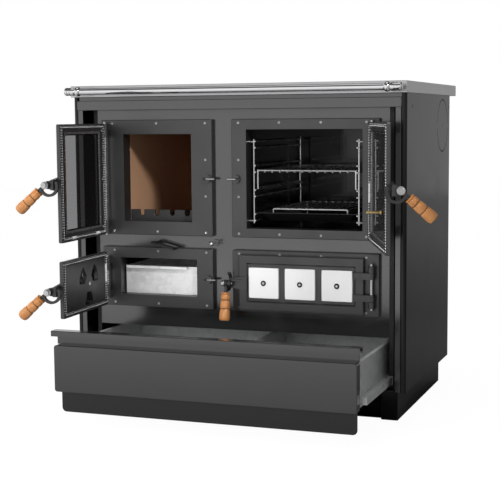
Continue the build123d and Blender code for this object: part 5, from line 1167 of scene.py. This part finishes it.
class STOVE_OT_wires(bpy.types.Operator):
    """Chrome wires of the racks, the shelf and the tray's grid"""

    bl_idname = "stove.wires"
    bl_label = "Oven wires"
    bl_options = {"REGISTER", "UNDO"}

    def execute(self, context):
        sizes = prepared(context)
        self.racks(sizes.rack_wire)
        self.shelf(sizes.shelf_wire, sizes.thin_wire)
        self.grid(sizes.shelf_wire, sizes.thin_wire)
        return {"FINISHED"}

    def racks(self, wire):
        """Two side racks: uprights, stays from them out to the wall, and four pairs of rails."""
        shape = Shape()
        low, high = box_of("oven_racks")
        overhang, stay_inset, first_rail, rail_step, rail_gap = 4, 6.6, 7, 62, 16.5
        for wall, inward in ((low[0], 1), (high[0], -1)):
            mouth, plane, rail = (wall + inward * away for away in (4, 18, 21.96))
            for y, stop in ((low[1] + overhang, mouth), (high[1] - overhang, wall)):
                shape.rod((plane, y, low[2]), (plane, y, high[2]), wire)
                for z in (low[2] + stay_inset, high[2] - stay_inset):
                    shape.rod((plane, y, z), (stop, y, z), wire)
            for level in range(4):
                for lift in (0, rail_gap):
                    z = low[2] + first_rail + rail_step * level + lift
                    shape.rod((rail, low[1], z), (rail, high[1], z), wire)
        shape.build("oven_racks_round", "stove_body", "wire_chrome", ("oven_racks",))

    def shelf(self, wire, thin):
        """Shelf: two bent end loops, side runners on the rails, and cross wires under its top. The
        CAD's wires have six sides, so its box ends at a flat, cos 30 of a radius from their middle."""
        shape = Shape()
        low, high = box_of("oven_shelf")
        side_inset, top_inset, seat_inset = 6.36, 3.0, 9.6
        flat = wire / MM * cos(radians(30))
        left, right = low[0] + side_inset, high[0] - side_inset
        front, back = low[1] + flat, high[1] - flat
        level, top = low[2] + wire / MM, high[2] - top_inset
        for y in (front, back):
            loop = [design(x, y, z) for x, z in ((left, level), (left, top), (right, top), (right, level))]
            shape.wire(loop, wire, 0.005, (0, 1, 0))
        for side in (left, right):
            for z in (level, top):
                shape.rod((side, front, z), (side, back, z), wire)
        for seat, side in ((low[0], left), (high[0], right)):
            for y in (front + seat_inset, back - seat_inset):
                shape.rod((seat, y, level), (side, y, level), wire)
        under = top - (wire + thin) / MM + 0.2
        for i in range(1, 13):
            x = left + (right - left) * i / 13
            shape.rod((x, front - 5, under), (x, back + 4, under), thin, 8)
        shape.build("oven_shelf_round", "oven_shelf", "wire_chrome", ("oven_shelf",))

    def grid(self, wire, thin):
        """Grid of the tray: a bent rim on four feet, and thin wires across it."""
        shape = Shape()
        low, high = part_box("tray_grid")
        left, right = low.x + wire, high.x - wire
        front, back = low.y + wire * 0.87, high.y - wire * 0.87
        top = high.z - thin * 1.87
        rim = [(left, front, top), (right, front, top), (right, back, top), (left, back, top)]
        shape.wire(rim, wire, 0.004, (0, 0, 1), closed=True)
        for (x, y, _), (aside, ahead) in zip(rim, ((1, 1), (-1, 1), (-1, -1), (1, -1))):
            x, y = x + aside * MM, y + ahead * MM
            shape.bar((x, y, top), (x, y, low.z), wire)
        for i in range(1, 11):
            x = left + (right - left) * i / 11
            shape.bar((x, front - 0.004, top + thin), (x, back + 0.004, top + thin), thin, 8)
        shape.build("tray_grid_round", "baking_tray", "wire_chrome", ("tray_grid",))


class STOVE_OT_oven(bpy.types.Operator):
    """Oven box and baking tray"""

    bl_idname = "stove.oven"
    bl_label = "Oven box and tray"
    bl_options = {"REGISTER", "UNDO"}

    def execute(self, context):
        prepared(context)
        dress("enamel_black", "oven_box", "baking_tray")
        return {"FINISHED"}


class STOVE_OT_fire(bpy.types.Operator):
    """Fire bricks, shaker lever, air knob, ash pan and air disc"""

    bl_idname = "stove.fire"
    bl_label = "Fire and ash parts"
    bl_options = {"REGISTER", "UNDO"}

    def execute(self, context):
        prepared(context)
        for node, finish in (
            ("firebricks", "firebrick"), ("shaker_lever", "dark_steel"),
            ("ash_pan", "galvanised"), ("air_rosette", "enamel_black"),
        ):
            ease_nodes(finish, EASED[node], node)
        self.knob()
        return {"FINISHED"}

    def knob(self):
        """Air knob turned about its rod: a ball on a neck, the rod and the damper plate."""
        turn = np.radians(np.linspace(0, 155, 18))
        ball = np.stack((-KNOB_BALL * np.cos(turn), KNOB_BALL * np.sin(turn)), -1)
        shape = Shape().turn(np.concatenate((ball, KNOB_ROD)), design(*KNOB_PLACE), (0, 1, 0), 32)
        shape.build("air_knob_turned", "air_knob", "chrome", ("air_knob",))


class STOVE_OT_drawer(bpy.types.Operator):
    """Log drawer with its gloss front"""

    bl_idname = "stove.drawer"
    bl_label = "Log drawer"
    bl_options = {"REGISTER", "UNDO"}

    def execute(self, context):
        ease_nodes("drawer_enamel", prepared(context).edge_ease, "drawer_grip", "drawer_front")
        dress("drawer_zinc", "drawer_box")
        return {"FINISHED"}


class STOVE_OT_panes(bpy.types.Operator):
    """Glass panes of the two glazed doors"""

    bl_idname = "stove.panes"
    bl_label = "Glass panes"
    bl_options = {"REGISTER", "UNDO"}

    def execute(self, context):
        prepared(context)
        dress("glass", "firebox_glass", "oven_glass")
        return {"FINISHED"}


class STOVE_OT_tiles(bpy.types.Operator):
    """Glazed tiles of the cleaning door"""

    bl_idname = "stove.tiles"
    bl_label = "Tiles"
    bl_options = {"REGISTER", "UNDO"}

    def execute(self, context):
        crown = prepared(context).tile_crown / MM
        door, tiles, caps = doors["tile"], Shape(), Shape()
        low, high = door.measure("door_tiles")
        for u in np.linspace(low[0] + TILE_WIDTH / 2, high[0] - TILE_WIDTH / 2, 3):
            z = (low[2] + high[2]) / 2
            self.tile(tiles, door, u, z, high[2] - low[2], low[1], high[1], crown)
            caps.turn(TILE_CAP, door.place((u, low[1] - crown, z)), -door.y_axis, 28)
        tiles.build("door_tiles_glazed", door.body, "white_glaze", ("door_tiles",))
        caps.build("tile_screw_caps", door.body, "dark_steel")
        return {"FINISHED"}

    def tile(self, shape, door, u, z, height, front, back, crown):
        """One tile: height over its back = edge curve of the distance to the nearest edge + a
        crown that falls off as (1 - a^2) * (1 - b^2), with a and b from -1 to 1 across it."""
        steps = eased_steps()
        a, b = np.meshgrid(steps, steps, indexing="ij")
        corner = 1 - 0.012 * (a * b) ** 8
        near = np.minimum((1 - np.abs(a)) * TILE_WIDTH / 2, (1 - np.abs(b)) * height / 2)
        edge = 1.6 * (1 - np.sqrt(np.clip(1 - (1 - np.clip(near / 1.6, 0, 1)) ** 2, 0, 1)))
        y = front + edge + crown - crown * (1 - a ** 2) * (1 - b ** 2)
        face = np.stack((u + a * corner * TILE_WIDTH / 2, y, z + b * corner * height / 2), -1)
        base = face.copy()
        base[..., 1] = back
        shape.add(door.place(face))
        shape.add(door.place(base))
        rim = [np.concatenate((g[:, 0], g[-1, 1:], g[-2::-1, -1], g[0, -2:0:-1])) for g in (face, base)]
        shape.add(door.place(np.stack(rim)), around=True)


class STOVE_OT_thermometer(bpy.types.Operator):
    """Oven thermometer with its dial, stem and nut"""

    bl_idname = "stove.thermometer"
    bl_label = "Thermometer"
    bl_options = {"REGISTER", "UNDO"}

    def execute(self, context):
        prepared(context)
        door = doors["oven"]
        low, high = door.measure("oven_thermometer")
        outer, inner = (end[1] for end in door.measure("oven_glass"))
        u, z = (low[0] + high[0]) / 2, DIAL_HEIGHT
        middle = door.place((u, outer, z))
        shape = Shape().turn(BEZEL, middle, -door.y_axis, 48)
        shape.build("thermometer_case", door.body, "chrome", slot="brass")
        shape = Shape().turn(DIAL, middle, -door.y_axis, 48)
        shape.build("thermometer_face", door.body, "dial_white")
        shape = Shape()
        for i, turn in enumerate(np.radians(np.linspace(225, -45, 21))):
            near, half = (15.0, 0.5) if i % 5 == 0 else (17.0, 0.28)
            self.mark(shape, door, (u, outer - DIAL_FACE, z), turn, near, 19.2, half)
        self.mark(shape, door, (u, outer - DIAL_FACE - 0.2, z), POINTER_TURN, -4.0, 14.5, 0.6)
        shape.turn(POINTER_HUB, door.place((u, outer - DIAL_FACE - 0.3, z)), -door.y_axis, 20)
        shape.build("thermometer_marks", door.body, "cast_dark", slot="brass")
        glass, reach = inner - outer, high[1] - outer
        nut = ((0.2, 3), (0.2, 5.2), (1.2, 5.8), (4.4, 5.8), (5.2, 4.6), (7, 3.6), (7.5, 3))
        tip = ((-1.2, 3), (-0.3, 2.4), (0, 1.2), (0, 0))
        profile = np.concatenate((((0, 0), (0, 3)), np.add(nut, (glass, 0)), np.add(tip, (reach, 0))))
        shape = Shape().turn(profile, middle, door.y_axis, 28)
        shape.build("thermometer_stem", door.body, "brass", ("oven_thermometer",))
        return {"FINISHED"}

    def mark(self, shape, door, middle, turn, near, far, half):
        """Thin raised stroke on the dial, as a closed box from near to far along a turned line."""
        along, across = np.array(((cos(turn), 0, sin(turn)), (-sin(turn), 0, cos(turn))))
        ends = ((near, -half), (far, -half), (far, half), (near, half))
        ring = [[middle + along * r + across * s + (0, depth, 0) for r, s in ends] for depth in (0.05, -0.12)]
        caps = [np.broadcast_to(np.mean(side, 0), (4, 3)) for side in ring]
        shape.add(door.place(np.stack((caps[0], ring[0], ring[1], caps[1]))), around=True)


class STOVE_PT_panel(bpy.types.Panel):
    """Lists the stove's pieces and settings"""

    bl_label = "Wood Cook Stove"
    bl_idname = "STOVE_PT_panel"
    bl_space_type = "VIEW_3D"
    bl_region_type = "UI"
    bl_category = "Stove"

    def draw(self, context):
        """A button for each operator, then a field for each setting."""
        column = self.layout.column(align=True)
        for operator in OPERATORS:
            column.operator(operator.bl_idname)
        for settings in (context.scene.stove_sizes, context.scene.stove_colours):
            box = self.layout.box()
            for name in settings.__annotations__:
                box.prop(settings, name)


OPERATORS = (
    STOVE_OT_stage, STOVE_OT_casing, STOVE_OT_castings, STOVE_OT_hob_rail, STOVE_OT_screws, STOVE_OT_ropes,
    STOVE_OT_grips, STOVE_OT_wires, STOVE_OT_oven, STOVE_OT_fire, STOVE_OT_drawer, STOVE_OT_panes,
    STOVE_OT_tiles, STOVE_OT_thermometer,
)
CLASSES = (StoveSizes, StoveColours) + OPERATORS + (STOVE_PT_panel,)


def register():
    """Adds the classes and the scene's settings."""
    for one in CLASSES:
        bpy.utils.register_class(one)
    bpy.types.Scene.stove_sizes = bpy.props.PointerProperty(type=StoveSizes)
    bpy.types.Scene.stove_colours = bpy.props.PointerProperty(type=StoveColours)


def unregister():
    """Takes them away again."""
    del bpy.types.Scene.stove_colours
    del bpy.types.Scene.stove_sizes
    for one in reversed(CLASSES):
        bpy.utils.unregister_class(one)


def main():
    """Registers the add-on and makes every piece."""
    register()
    for operator in OPERATORS:
        family, name = operator.bl_idname.split(".")
        result = getattr(getattr(bpy.ops, family), name)()
        if result != {"FINISHED"}:
            raise RuntimeError(f"{operator.bl_idname} did not finish")


if __name__ == "__main__":
    main()
